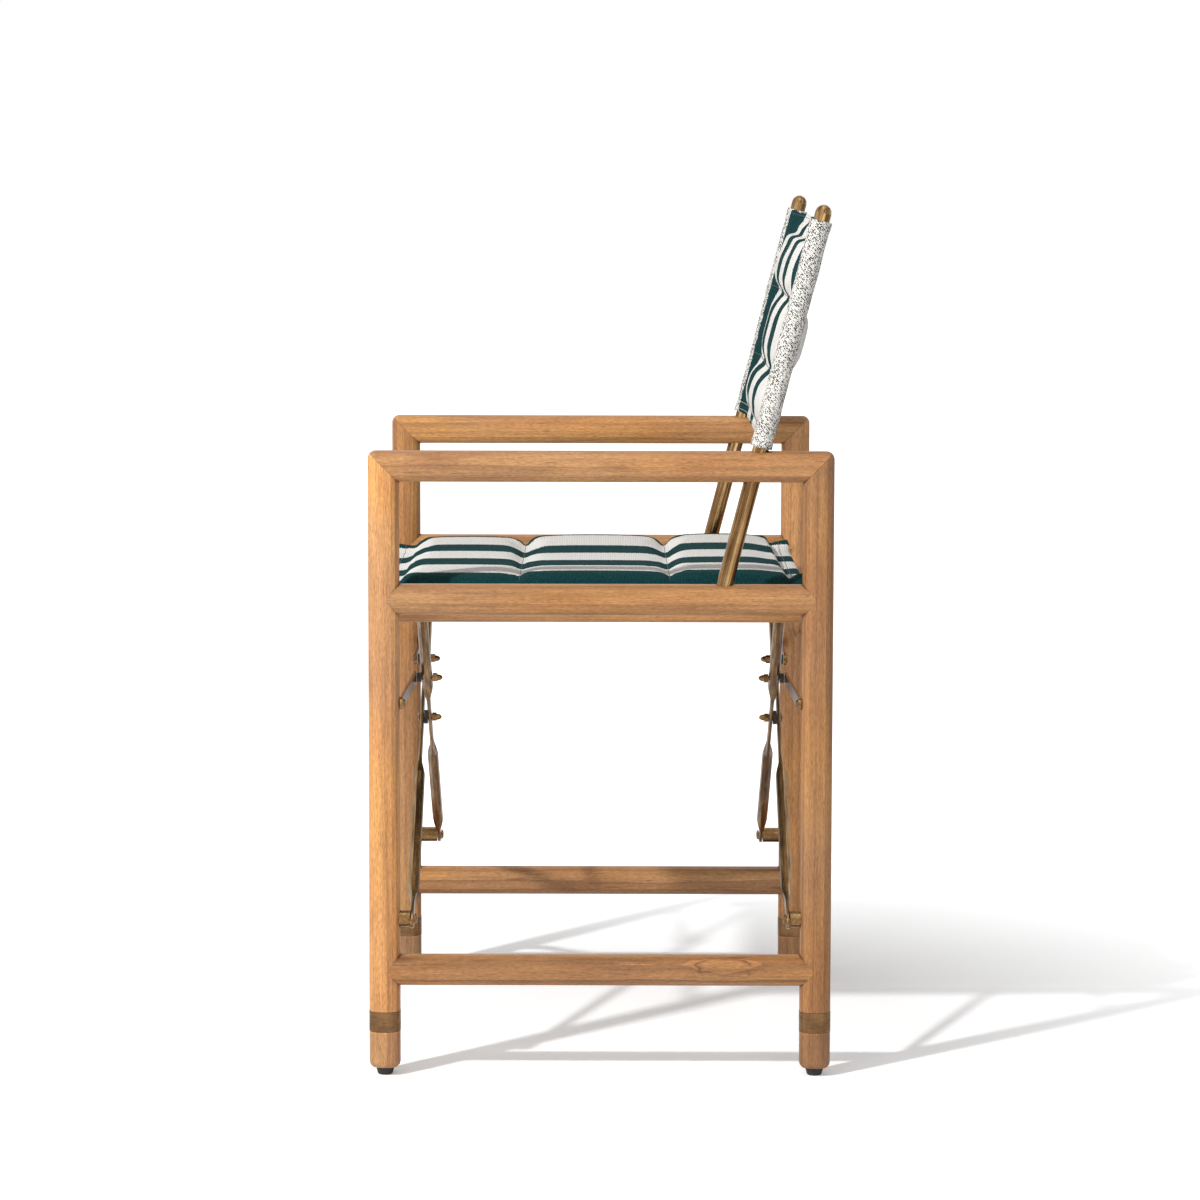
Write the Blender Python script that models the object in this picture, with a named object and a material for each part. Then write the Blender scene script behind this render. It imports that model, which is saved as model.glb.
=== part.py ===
# Folding directors chair: two wooden side frames, joined by a brass scissor at the front and one at
# the rear, with a padded sling seat on two wooden seat rails and a padded sling back on brass posts.
# Metres, +Z up. The origin is on the floor under the middle of the side frames. The sitter faces -Y,
# so the left side is +X. The chair stands open here: every joint is at its rest value.

import math

import bmesh
import bpy
from mathutils import Matrix, Vector

# Side frames
FRAME_SPACING = 0.530
DEPTH = 0.479
ARM_TOP = 0.651
SIDE_RAIL_TOP = 0.5135
STRETCHER_TOP = 0.1264

# Wooden members: a square section with well rounded edges, the same for every frame member
SECTION = 0.032
EDGE_ROUND = 0.013
EDGE_STEPS = 4
CORNER_STEPS = 3
FOOT_ROUND = 0.006
FOOT_STEPS = 3

# Brass band let into each leg
BAND_BOTTOM = 0.0468
BAND_TOP = 0.0675
BAND_WALL = 0.0014
BAND_PROUD = 0.0003

# Rubber glides
GLIDE_HEIGHT = 0.0076
GLIDE_TOP_DIAMETER = 0.0193
GLIDE_FOOT_DIAMETER = 0.0156
GLIDE_EDGE = 0.0012
GLIDE_STEM_DIAMETER = 0.006
GLIDE_STEM_LENGTH = 0.013

# Back posts
POST_DIAMETER = 0.0168
POST_LEAN_DEG = 14.5
POST_FOOT_FROM_REAR = 0.1121
POST_SOCKET_DEPTH = 0.020
POST_TOP = 0.903

# Scissors
PIVOT_HEIGHT = 0.164
CROSSING_HEIGHT = 0.3384
FOLD_LIMIT_DEG = 72.0
STRAP_BOLT_ABOVE_CROSSING = 0.0985
TUBE_DIAMETER = 0.012
FLAT_THICKNESS = 0.004
FLAT_WIDTH = 0.0164
FOOT_OVERHANG = 0.012
FOOT_FLAT_LENGTH = 0.018
FOOT_TAPER_LENGTH = 0.026
CROSSING_FLAT_BELOW = 0.072
CROSSING_FLAT_ABOVE = 0.050
CROSSING_TAPER_BELOW = 0.022
CROSSING_TAPER_ABOVE = 0.029
TUBE_SIDES = 10

# Scissor fittings
STANDOFF_DIAMETER = 0.017
STANDOFF_SEAT_DEPTH = 0.0015
SHORT_STANDOFF = 0.0102
LONG_STANDOFF = 0.0187
PIVOT_BOLT_DIAMETER = 0.006
PIVOT_BOLT_GRIP = 0.018
BOLT_HEAD_DIAMETER = 0.011
BOLT_HEAD_HEIGHT = 0.0028
STRAP_BOLT_DIAMETER = 0.005
STRAP_BOLT_GRIP = 0.015
STRAP_HEAD_DIAMETER = 0.009
STRAP_HEAD_HEIGHT = 0.0022
CROSSING_WASHER_DIAMETER = 0.0155
STRAP_WASHER_DIAMETER = 0.0105
LEFT_STRAP_WASHER = 0.0042
RIGHT_STRAP_WASHER = 0.0018
NUT_ACROSS_CORNERS = 0.0098
NUT_HEX_HEIGHT = 0.0048
NUT_DOME_DIAMETER = 0.0074
NUT_DOME_HEIGHT = 0.0058

# Straps that hold the side frames upright
STRAP_THICKNESS = 0.003
STRAP_WIDTH = 0.012
STRAP_EYE_DIAMETER = 0.0132
STRAP_EYE_FLAT = 0.010
STRAP_CLEAR_OF_LEG = 0.0005

# Seat rails
SEAT_RAIL_DIAMETER = 0.032
SEAT_RAIL_INSET = 0.060
SEAT_RAIL_ABOVE_BAR = 0.008
SEAT_RAIL_FROM_FRONT = 0.0115
SEAT_RAIL_FROM_REAR = 0.0305
SEAT_RAIL_CHAMFER = 0.0015
BAR_PAST_RAIL_AXIS = 0.006

# Seat cushion
SEAT_HEM_THICKNESS = 0.005
SEAT_HEM_LENGTH = 0.018
SEAT_SEAM_FROM_FRONT = 0.1435
SEAT_SEAM_FROM_REAR = 0.1375
SEAT_SEAM_FULLNESS = 0.27
SEAT_CROWN = 0.0165
SEAT_BELLY = 0.007
SEAT_WRAP_DEG = 20.0
SEAT_WRAP_STEPS = 4

# Back cushion and the sleeves that hold it on the posts
SLEEVE_DIAMETER = 0.0236
SLEEVE_BOTTOM = 0.655
SLEEVE_TOP = 0.883
BACK_SEAM_LOW = 0.7235
BACK_SEAM_HIGH = 0.800
BACK_HEM_LENGTH = 0.013
BACK_HEM_THICKNESS = 0.004
BACK_PUFF = 0.027
BACK_PUFF_REARWARD = 0.0045

# Space left between pieces that touch
GAP = 0.0003
HOLE_SIDES = 10

# Worked out from the sizes above
HALF_SPACING = FRAME_SPACING / 2
HALF_SECTION = SECTION / 2
LEG_Y = DEPTH / 2 - HALF_SECTION
LEG_FACE = LEG_Y - HALF_SECTION
ARM_HEIGHT = ARM_TOP - HALF_SECTION
SIDE_RAIL_HEIGHT = SIDE_RAIL_TOP - HALF_SECTION
STRETCHER_HEIGHT = STRETCHER_TOP - HALF_SECTION
POST_FOOT_Y = DEPTH / 2 - POST_FOOT_FROM_REAR
SEAT_RAIL_FRONT = SEAT_RAIL_FROM_FRONT - DEPTH / 2
SEAT_RAIL_REAR = DEPTH / 2 - SEAT_RAIL_FROM_REAR
LEG_BOTTOM = GLIDE_HEIGHT + GAP
POST_LEAN = math.radians(POST_LEAN_DEG)
POST_AXIS = Vector((0.0, math.sin(POST_LEAN), math.cos(POST_LEAN)))
OPEN_ANGLE = math.atan2(CROSSING_HEIGHT - PIVOT_HEIGHT, HALF_SPACING)
FOLDED_ANGLE = math.radians(FOLD_LIMIT_DEG)
HALF_BAR = HALF_SPACING / math.cos(OPEN_ANGLE)
TUBE_RADIUS = TUBE_DIAMETER / 2
SEAT_RAIL_RADIUS = SEAT_RAIL_DIAMETER / 2
SEAT_RAIL_X = HALF_SPACING - SEAT_RAIL_INSET
SEAT_RAIL_ALONG_BAR = (
    FRAME_SPACING - SEAT_RAIL_INSET + SEAT_RAIL_ABOVE_BAR * math.sin(OPEN_ANGLE)
) / math.cos(OPEN_ANGLE)
SEAT_RAIL_HEIGHT = (
    PIVOT_HEIGHT
    + SEAT_RAIL_ALONG_BAR * math.sin(OPEN_ANGLE)
    + SEAT_RAIL_ABOVE_BAR * math.cos(OPEN_ANGLE)
)
BAR_TOP = SEAT_RAIL_ALONG_BAR + BAR_PAST_RAIL_AXIS
STRAP_BOLT_ALONG_BAR = HALF_BAR + STRAP_BOLT_ABOVE_CROSSING
# Distances from the middle of the chair to the centre planes of the bars, along Y
OUTER_BAR_Y = LEG_FACE - SHORT_STANDOFF - GAP - FLAT_THICKNESS / 2
INNER_BAR_Y = LEG_FACE - LONG_STANDOFF - GAP - FLAT_THICKNESS / 2
STRAP_LEG_Y = LEG_FACE - STRAP_CLEAR_OF_LEG - STRAP_THICKNESS / 2


def strap_geometry():
    # The strap's pivot on the leg is as far from its bolt on the bar open as folded.
    lower = HALF_BAR - STRAP_BOLT_ABOVE_CROSSING
    upper = HALF_BAR + STRAP_BOLT_ABOVE_CROSSING
    x_open = lower * math.cos(OPEN_ANGLE)
    z_open = upper * math.sin(OPEN_ANGLE)
    x_folded = lower * math.cos(FOLDED_ANGLE)
    z_folded = upper * math.sin(FOLDED_ANGLE)
    square_gain = x_folded ** 2 + z_folded ** 2 - x_open ** 2 - z_open ** 2
    rise = square_gain / (2 * (z_folded - z_open))
    length = math.hypot(x_open, z_open - rise)
    angle = math.atan2(z_open - rise, x_open)
    folded_angle = math.atan2(z_folded - rise, x_folded)
    return PIVOT_HEIGHT + rise, length, angle, folded_angle - angle


STRAP_PIVOT_HEIGHT, STRAP_LENGTH, STRAP_ANGLE, STRAP_SWING = strap_geometry()


# Materials

def material(name, colour, roughness, metallic=0.0):
    shade = bpy.data.materials.new(name)
    shade.use_nodes = True
    shader = shade.node_tree.nodes["Principled BSDF"]
    shader.inputs["Base Color"].default_value = (*colour, 1.0)
    shader.inputs["Roughness"].default_value = roughness
    shader.inputs["Metallic"].default_value = metallic
    shade.diffuse_color = (*colour, 1.0)
    return shade


def make_materials():
    return {
        "teak": material("teak", (0.53, 0.30, 0.14), 0.55),
        "brass": material("aged_brass", (0.42, 0.29, 0.13), 0.35, 1.0),
        "band": material("bronze_band", (0.27, 0.18, 0.09), 0.45, 1.0),
        "rubber": material("black_rubber", (0.02, 0.02, 0.02), 0.7),
        "washer": material("black_nylon", (0.02, 0.02, 0.022), 0.5),
        "stripe": material("striped_cloth", (0.35, 0.42, 0.38), 0.9),
        "fleck": material("flecked_cloth", (0.62, 0.60, 0.56), 0.9),
    }


# Shapes

def skin(columns):
    # Joins neighbouring columns of points by faces and closes both ends with strips.
    # Columns i and n-1-i face each other across the section.
    shape = bmesh.new()
    rows = [[shape.verts.new(point) for point in column] for column in columns]
    count = len(rows)
    steps = len(rows[0])
    for i in range(count):
        here = rows[i]
        there = rows[(i + 1) % count]
        for k in range(steps - 1):
            shape.faces.new((here[k], there[k], there[k + 1], here[k + 1]))
    for i in range(count // 2 - 1):
        left = count - 1 - i
        shape.faces.new((rows[i][0], rows[left][0], rows[left - 1][0], rows[i + 1][0]))
        shape.faces.new((rows[i][-1], rows[i + 1][-1], rows[left - 1][-1], rows[left][-1]))
    bmesh.ops.remove_doubles(shape, verts=shape.verts, dist=0.000001)
    return shape


def turned(profile, origin, axis, sides, hollow=False):
    # Turns (distance, radius, hexagonal) points round an axis. A hollow profile is a closed loop.
    shape = bmesh.new()
    turn = Vector(axis).to_track_quat("Z", "Y").to_matrix()
    rings = []
    for distance, radius, hexagonal in profile:
        ring = []
        for side in range(sides):
            angle = 2 * math.pi * side / sides
            reach = radius * (math.cos(math.pi / 6) if hexagonal and side % 2 else 1.0)
            local = Vector((reach * math.cos(angle), reach * math.sin(angle), distance))
            ring.append(shape.verts.new(Vector(origin) + turn @ local))
        rings.append(ring)
    pairs = list(zip(rings, rings[1:]))
    if hollow:
        pairs.append((rings[-1], rings[0]))
    else:
        shape.faces.new(reversed(rings[0]))
        shape.faces.new(rings[-1])
    for lower, upper in pairs:
        for side in range(sides):
            after = (side + 1) % sides
            shape.faces.new((lower[side], lower[after], upper[after], upper[side]))
    return shape


def tube(start, end, outer, inner, origin, axis, sides):
    loop = [(start, inner, False), (start, outer, False), (end, outer, False), (end, inner, False)]
    return turned(loop, origin, axis, sides, hollow=True)


def rod(start, end, radius, origin, axis, sides):
    return turned([(start, radius, False), (end, radius, False)], origin, axis, sides)


def hold(shape):
    mesh = bpy.data.meshes.new("held")
    bmesh.ops.recalc_face_normals(shape, faces=shape.faces)
    shape.to_mesh(mesh)
    shape.free()
    held = bpy.data.objects.new("held", mesh)
    held.hide_render = True
    held.display_type = "WIRE"
    bpy.context.scene.collection.objects.link(held)
    return held


def combine(shape, others, operation="DIFFERENCE"):
    body = hold(shape)
    tools = [hold(other) for other in others]
    for tool in tools:
        step = body.modifiers.new("combine", "BOOLEAN")
        step.operation = operation
        step.solver = "EXACT"
        step.object = tool
    result = bmesh.new()
    evaluated = body.evaluated_get(bpy.context.evaluated_depsgraph_get())
    result.from_mesh(evaluated.to_mesh())
    for spent in [body] + tools:
        bpy.data.objects.remove(spent)
    return result


def finish(name, shape, shade, pivot):
    mesh = bpy.data.meshes.new(name)
    bmesh.ops.recalc_face_normals(shape, faces=shape.faces)
    shape.to_mesh(mesh)
    shape.free()
    mesh.transform(Matrix.Translation(-pivot["place"]))
    mesh.materials.append(shade)
    mesh.shade_smooth()
    mesh.set_sharp_from_angle(angle=math.radians(35))
    piece = bpy.data.objects.new(name, mesh)
    piece.parent = pivot["empty"]
    bpy.context.scene.collection.objects.link(piece)
    return piece


def make_pivot(name, place, parent=None):
    empty = bpy.data.objects.new(name + "_pivot", None)
    start = parent["place"] if parent else Vector((0.0, 0.0, 0.0))
    empty.location = Vector(place) - start
    if parent:
        empty.parent = parent["empty"]
    bpy.context.scene.collection.objects.link(empty)
    return {"empty": empty, "place": Vector(place)}


# Wooden members

def rounded_square(inset=0.0):
    flat = HALF_SECTION - EDGE_ROUND
    radius = EDGE_ROUND - inset
    points = []
    for corner, (across, up) in enumerate(((1, 1), (-1, 1), (-1, -1), (1, -1))):
        for step in range(EDGE_STEPS + 1):
            angle = math.radians(90 * (corner + step / EDGE_STEPS))
            points.append((across * flat + radius * math.cos(angle), up * flat + radius * math.sin(angle)))
    return points


# The outer frame corner turns about a point that lies this far out from the member's middle
CORNER_PIVOT = HALF_SECTION - EDGE_ROUND + EDGE_ROUND * math.sin(math.radians(90 / EDGE_STEPS))


def corner_arc(out):
    # From the mitre plane to square with the member: (distance out, distance up) at each step.
    reach = out - CORNER_PIVOT
    if reach < GAP:
        return [(out - GAP / 2, out)] * (CORNER_STEPS + 1)
    first = math.radians(45) + math.asin(GAP / (2 * reach * math.sqrt(2)))
    arc = []
    for step in range(CORNER_STEPS + 1):
        angle = first + (math.radians(90) - first) * step / CORNER_STEPS
        arc.append((CORNER_PIVOT + reach * math.cos(angle), CORNER_PIVOT + reach * math.sin(angle)))
    return arc


def leg_stations():
    stations = []
    for step in range(FOOT_STEPS + 1):
        angle = math.radians(90 * step / FOOT_STEPS)
        stations.append((LEG_BOTTOM + FOOT_ROUND * (1 - math.cos(angle)), FOOT_ROUND * (1 - math.sin(angle))))
    groove = BAND_WALL - BAND_PROUD + GAP
    stations += [(BAND_BOTTOM - GAP, 0.0), (BAND_BOTTOM - GAP, groove)]
    stations += [(BAND_TOP + GAP, groove), (BAND_TOP + GAP, 0.0)]
    return stations


def make_leg(name, side, end, shade, pivot):
    # side is +1 on the left, end is +1 at the rear. The leg keeps its full section: the rails fit round it.
    stations = leg_stations()
    profiles = [rounded_square(inset) for height, inset in stations]
    columns = []
    for i, (across, out) in enumerate(rounded_square()):
        column = []
        for (height, inset), profile in zip(stations, profiles):
            x, y = profile[i]
            column.append((side * HALF_SPACING + x, end * (LEG_Y + y), height))
        for up, outward in reversed(corner_arc(out)):
            column.append((side * HALF_SPACING + across, end * (LEG_Y + outward), ARM_HEIGHT + up))
        columns.append(column)
    shape = skin(columns)
    face = Vector((side * HALF_SPACING, end * LEG_FACE, 0.0))
    into = (0.0, end, 0.0)
    bolt = PIVOT_BOLT_DIAMETER / 2 + GAP
    strap_bolt = STRAP_BOLT_DIAMETER / 2 + GAP
    stem = GLIDE_STEM_DIAMETER / 2 + GAP
    lower = face + Vector((0.0, 0.0, PIVOT_HEIGHT))
    upper = face + Vector((0.0, 0.0, STRAP_PIVOT_HEIGHT))
    foot = Vector((side * HALF_SPACING, end * LEG_Y, LEG_BOTTOM))
    seat_profile = [
        (-SECTION, STANDOFF_DIAMETER / 2 + GAP, False),
        (STANDOFF_SEAT_DEPTH, STANDOFF_DIAMETER / 2 + GAP, False),
        (STANDOFF_SEAT_DEPTH, bolt, False),
        (PIVOT_BOLT_GRIP + GAP, bolt, False),
    ]
    holes = [
        turned(seat_profile, lower, into, 2 * HOLE_SIDES),
        rod(-SECTION, STRAP_BOLT_GRIP + GAP, strap_bolt, upper, into, HOLE_SIDES),
        rod(-SECTION, GLIDE_STEM_LENGTH + GAP, stem, foot, (0.0, 0.0, 1.0), HOLE_SIDES),
    ]
    finish(name, combine(shape, holes), shade, pivot)


def post_point(height):
    return POST_FOOT_Y + math.tan(POST_LEAN) * (height - SIDE_RAIL_TOP)


def post_hole(side, start_height, end_height):
    origin = (side * HALF_SPACING, post_point(start_height), start_height)
    length = (end_height - start_height) / math.cos(POST_LEAN)
    return rod(0.0, length, POST_DIAMETER / 2 + GAP, origin, POST_AXIS, 2 * HOLE_SIDES)


def make_armrest(name, side, shade, pivot):
    columns = []
    for across, up in rounded_square():
        ends = [(LEG_Y + outward, ARM_HEIGHT + height) for outward, height in corner_arc(up)]
        x = side * HALF_SPACING + across
        column = [(x, -y, z) for y, z in ends] + [(x, y, z) for y, z in reversed(ends)]
        columns.append(column)
    hole = post_hole(side, ARM_TOP - 2 * SECTION, ARM_TOP + SECTION)
    finish(name, combine(skin(columns), [hole]), shade, pivot)


def coped_rail(side, height):
    # Each end fits round the leg, which has the same section.
    columns = []
    for across, up in rounded_square():
        reach = LEG_Y - abs(up) - GAP
        x = side * HALF_SPACING + across
        columns.append([(x, -reach, height + up), (x, reach, height + up)])
    return skin(columns)


def make_side_rail(name, side, shade, pivot):
    floor = SIDE_RAIL_TOP - POST_SOCKET_DEPTH
    socket = post_hole(side, floor, SIDE_RAIL_TOP + SECTION)
    finish(name, combine(coped_rail(side, SIDE_RAIL_HEIGHT), [socket]), shade, pivot)


def make_stretcher(name, side, shade, pivot):
    finish(name, coped_rail(side, STRETCHER_HEIGHT), shade, pivot)


def make_band(name, side, end, shade, pivot):
    outer = rounded_square(-BAND_PROUD)
    inner = rounded_square(BAND_WALL - BAND_PROUD)
    shape = bmesh.new()
    rings = []
    for profile, height in ((inner, BAND_BOTTOM), (outer, BAND_BOTTOM), (outer, BAND_TOP), (inner, BAND_TOP)):
        centre = Vector((side * HALF_SPACING, end * LEG_Y, height))
        rings.append([shape.verts.new(centre + Vector((x, y, 0.0))) for x, y in profile])
    for ring, following in zip(rings, rings[1:] + rings[:1]):
        for i in range(len(ring)):
            after = (i + 1) % len(ring)
            shape.faces.new((ring[i], ring[after], following[after], following[i]))
    finish(name, shape, shade, pivot)


def make_glide(name, side, end, shade, pivot):
    profile = [
        (0.0, GLIDE_FOOT_DIAMETER / 2 - GLIDE_EDGE, False),
        (GLIDE_EDGE, GLIDE_FOOT_DIAMETER / 2, False),
        (GLIDE_HEIGHT, GLIDE_TOP_DIAMETER / 2, False),
        (GLIDE_HEIGHT, GLIDE_STEM_DIAMETER / 2, False),
        (GLIDE_HEIGHT + GLIDE_STEM_LENGTH, GLIDE_STEM_DIAMETER / 2, False),
    ]
    origin = (side * HALF_SPACING, end * LEG_Y, 0.0)
    finish(name, turned(profile, origin, (0.0, 0.0, 1.0), 2 * HOLE_SIDES), shade, pivot)


def make_post(name, side, shade, pivot):
    radius = POST_DIAMETER / 2
    foot = SIDE_RAIL_TOP - POST_SOCKET_DEPTH
    origin = (side * HALF_SPACING, post_point(foot), foot)
    length = (POST_TOP - radius - foot) / math.cos(POST_LEAN)
    profile = [(GAP, radius, False)]
    for degrees in (0, 25, 48, 68, 84):
        angle = math.radians(degrees)
        profile.append((length + radius * math.sin(angle), radius * math.cos(angle), False))
    finish(name, turned(profile, origin, POST_AXIS, 20), shade, pivot)


# Scissors

def bar_point(side, along, above, y):
    # side is the side of the bar's foot. above is measured square to the bar.
    x = side * (HALF_SPACING - along * math.cos(OPEN_ANGLE) + above * math.sin(OPEN_ANGLE))
    z = PIVOT_HEIGHT + along * math.sin(OPEN_ANGLE) + above * math.cos(OPEN_ANGLE)
    return Vector((x, y, z))


def bar_stations():
    flat = (FLAT_WIDTH / 2, FLAT_THICKNESS / 2)
    round_tube = (TUBE_RADIUS, TUBE_RADIUS)
    stations = []
    for degrees in (78, 55, 30):
        angle = math.radians(degrees)
        stations.append((-FOOT_OVERHANG * math.sin(angle), (flat[0] * math.cos(angle), flat[1])))
    stations += [
        (0.0, flat),
        (FOOT_FLAT_LENGTH, flat),
        (FOOT_FLAT_LENGTH + FOOT_TAPER_LENGTH, round_tube),
        (HALF_BAR - CROSSING_FLAT_BELOW - CROSSING_TAPER_BELOW, round_tube),
        (HALF_BAR - CROSSING_FLAT_BELOW, flat),
        (HALF_BAR + CROSSING_FLAT_ABOVE, flat),
        (HALF_BAR + CROSSING_FLAT_ABOVE + CROSSING_TAPER_ABOVE, round_tube),
        (BAR_TOP, round_tube),
    ]
    return ease_tapers(stations)


def ease_tapers(stations):
    # Two more sections between flat and round, so that each taper swells like a pressed tube.
    eased = [stations[0]]
    for (start, before), (end, after) in zip(stations, stations[1:]):
        if before[1] != after[1]:
            for share in (0.3, 0.7):
                blend = share * share * (3 - 2 * share)
                half_sizes = tuple(a + (b - a) * blend for a, b in zip(before, after))
                eased.append((start + (end - start) * share, half_sizes))
        eased.append((end, after))
    return eased


def make_bar(name, side, end, plane_y, shade, pivot):
    columns = []
    for k in range(TUBE_SIDES):
        angle = 2 * math.pi * (k + 0.5) / TUBE_SIDES
        bulge = math.copysign(1.0, math.cos(angle))
        column = []
        for along, (half_width, half_thickness) in bar_stations():
            above = bulge * max(0.0, half_width - half_thickness) + half_thickness * math.cos(angle)
            column.append(bar_point(side, along, above, end * (plane_y + half_thickness * math.sin(angle))))
        columns.append(column)
    holes = []
    for along, diameter in (
        (0.0, PIVOT_BOLT_DIAMETER),
        (HALF_BAR, PIVOT_BOLT_DIAMETER),
        (STRAP_BOLT_ALONG_BAR, STRAP_BOLT_DIAMETER),
    ):
        centre = bar_point(side, along, 0.0, end * plane_y)
        radius = diameter / 2 + GAP
        holes.append(rod(-TUBE_DIAMETER, TUBE_DIAMETER, radius, centre, (0.0, 1.0, 0.0), HOLE_SIDES))
    finish(name, combine(skin(columns), holes), shade, pivot)


def make_standoff(name, side, end, length, shade, pivot):
    origin = (side * HALF_SPACING, end * LEG_FACE, PIVOT_HEIGHT)
    bore = PIVOT_BOLT_DIAMETER / 2 + GAP
    outer = STANDOFF_DIAMETER / 2
    start = GAP - STANDOFF_SEAT_DEPTH
    finish(name, tube(start, length, outer, bore, origin, (0.0, -end, 0.0), 20), shade, pivot)


def make_pivot_bolt(name, side, end, plane_y, shade, pivot):
    under_head = end * (plane_y - FLAT_THICKNESS / 2 - GAP)
    origin = (side * HALF_SPACING, under_head, PIVOT_HEIGHT)
    reach = LEG_FACE + PIVOT_BOLT_GRIP - abs(under_head)
    head = BOLT_HEAD_DIAMETER / 2
    shank = PIVOT_BOLT_DIAMETER / 2
    profile = [
        (-BOLT_HEAD_HEIGHT, 0.6 * head, False),
        (-0.6 * BOLT_HEAD_HEIGHT, head, False),
        (0.0, head, False),
        (0.0, shank, False),
        (reach, shank, False),
    ]
    finish(name, turned(profile, origin, (0.0, end, 0.0), HOLE_SIDES), shade, pivot)


def nut_profile(seat):
    # A domed nut from its seat on, hexagonal first.
    dome = NUT_DOME_DIAMETER / 2
    top = seat + NUT_HEX_HEIGHT
    profile = [(seat, NUT_ACROSS_CORNERS / 2, True), (top, NUT_ACROSS_CORNERS / 2, True), (top, dome, False)]
    for degrees in (35, 60, 80):
        angle = math.radians(degrees)
        profile.append((top + NUT_DOME_HEIGHT * math.sin(angle), dome * math.cos(angle), False))
    return profile


def make_crossing_bolt(name, end, shade, pivot):
    # Headed on the leg's side, through both bars and the washer, with its nut on the chair's inside.
    under_head = end * (OUTER_BAR_Y + FLAT_THICKNESS / 2 + GAP)
    origin = (0.0, under_head, CROSSING_HEIGHT)
    head = BOLT_HEAD_DIAMETER / 2
    shank = PIVOT_BOLT_DIAMETER / 2
    seat = abs(under_head) - INNER_BAR_Y + FLAT_THICKNESS / 2 + GAP
    profile = [
        (-STRAP_HEAD_HEIGHT, 0.6 * head, False),
        (-0.5 * STRAP_HEAD_HEIGHT, head, False),
        (0.0, head, False),
        (0.0, shank, False),
        (seat, shank, False),
    ]
    finish(name, turned(profile + nut_profile(seat), origin, (0.0, -end, 0.0), HOLE_SIDES), shade, pivot)


def make_crossing_washer(name, end, shade, pivot):
    start = end * (OUTER_BAR_Y - FLAT_THICKNESS / 2 - GAP)
    length = abs(start) - INNER_BAR_Y - FLAT_THICKNESS / 2 - GAP
    bore = PIVOT_BOLT_DIAMETER / 2 + GAP
    outer = CROSSING_WASHER_DIAMETER / 2
    origin = (0.0, start, CROSSING_HEIGHT)
    finish(name, tube(0.0, length, outer, bore, origin, (0.0, -end, 0.0), 20), shade, pivot)


# Straps: a left strap runs from the left leg to the bar that has its foot on the right, in the inner plane

def strap_bar(side):
    if side > 0:
        return INNER_BAR_Y, LEFT_STRAP_WASHER
    return OUTER_BAR_Y, RIGHT_STRAP_WASHER


def strap_bolt_point(side, y):
    return bar_point(-side, STRAP_BOLT_ALONG_BAR, 0.0, y)


def strap_far_y(side):
    plane_y, washer = strap_bar(side)
    return plane_y + TUBE_RADIUS + 2 * GAP + washer + GAP + STRAP_THICKNESS / 2


def strap_stations(side):
    # (distance from the leg's pivot, half width, distance from the chair's middle along Y)
    far_y = strap_far_y(side)
    eye = STRAP_EYE_DIAMETER / 2
    stations = []
    for degrees in (75, 45, 20):
        angle = math.radians(degrees)
        stations.append((-eye * math.sin(angle), eye * math.cos(angle), STRAP_LEG_Y))
    stations += [
        (0.0, eye, STRAP_LEG_Y),
        (STRAP_EYE_FLAT, STRAP_WIDTH / 2, STRAP_LEG_Y),
        (STRAP_LENGTH - STRAP_EYE_FLAT, STRAP_WIDTH / 2, far_y),
        (STRAP_LENGTH, eye, far_y),
    ]
    for degrees in (20, 45, 75):
        angle = math.radians(degrees)
        stations.append((STRAP_LENGTH + eye * math.sin(angle), eye * math.cos(angle), far_y))
    return stations


def make_strap(name, side, end, shade, pivot):
    along = Vector((-side * math.cos(STRAP_ANGLE), 0.0, math.sin(STRAP_ANGLE)))
    above = Vector((side * math.sin(STRAP_ANGLE), 0.0, math.cos(STRAP_ANGLE)))
    start = Vector((side * HALF_SPACING, 0.0, STRAP_PIVOT_HEIGHT))
    columns = []
    for up, out in ((1, 1), (-1, 1), (-1, -1), (1, -1)):
        column = []
        for distance, half_width, y in strap_stations(side):
            flat = start + along * distance + above * (up * half_width)
            column.append(flat + Vector((0.0, end * (y + out * STRAP_THICKNESS / 2), 0.0)))
        columns.append(column)
    hole_radius = STRAP_BOLT_DIAMETER / 2 + GAP
    leg_eye = (side * HALF_SPACING, end * STRAP_LEG_Y, STRAP_PIVOT_HEIGHT)
    hole = rod(-SECTION, SECTION, hole_radius, leg_eye, (0.0, end, 0.0), HOLE_SIDES)
    drilled = combine(skin(columns), [hole])
    radius = STRAP_HEAD_DIAMETER / 2
    sunk = STRAP_THICKNESS / 2
    head_profile = [
        (0.0, radius, False),
        (sunk + 0.5 * STRAP_HEAD_HEIGHT, radius, False),
        (sunk + STRAP_HEAD_HEIGHT, 0.6 * radius, False),
    ]
    far_eye = strap_bolt_point(side, end * strap_far_y(side))
    head = turned(head_profile, far_eye, (0.0, end, 0.0), HOLE_SIDES)
    finish(name, combine(drilled, [head], "UNION"), shade, pivot)


def make_strap_leg_bolt(name, side, end, shade, pivot):
    under_head = end * (STRAP_LEG_Y - STRAP_THICKNESS / 2 - GAP)
    origin = (side * HALF_SPACING, under_head, STRAP_PIVOT_HEIGHT)
    head = STRAP_HEAD_DIAMETER / 2
    shank = STRAP_BOLT_DIAMETER / 2
    reach = LEG_FACE + STRAP_BOLT_GRIP - abs(under_head)
    profile = [
        (-STRAP_HEAD_HEIGHT, 0.6 * head, False),
        (-0.5 * STRAP_HEAD_HEIGHT, head, False),
        (0.0, head, False),
        (0.0, shank, False),
        (reach, shank, False),
    ]
    finish(name, turned(profile, origin, (0.0, end, 0.0), HOLE_SIDES), shade, pivot)


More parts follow.
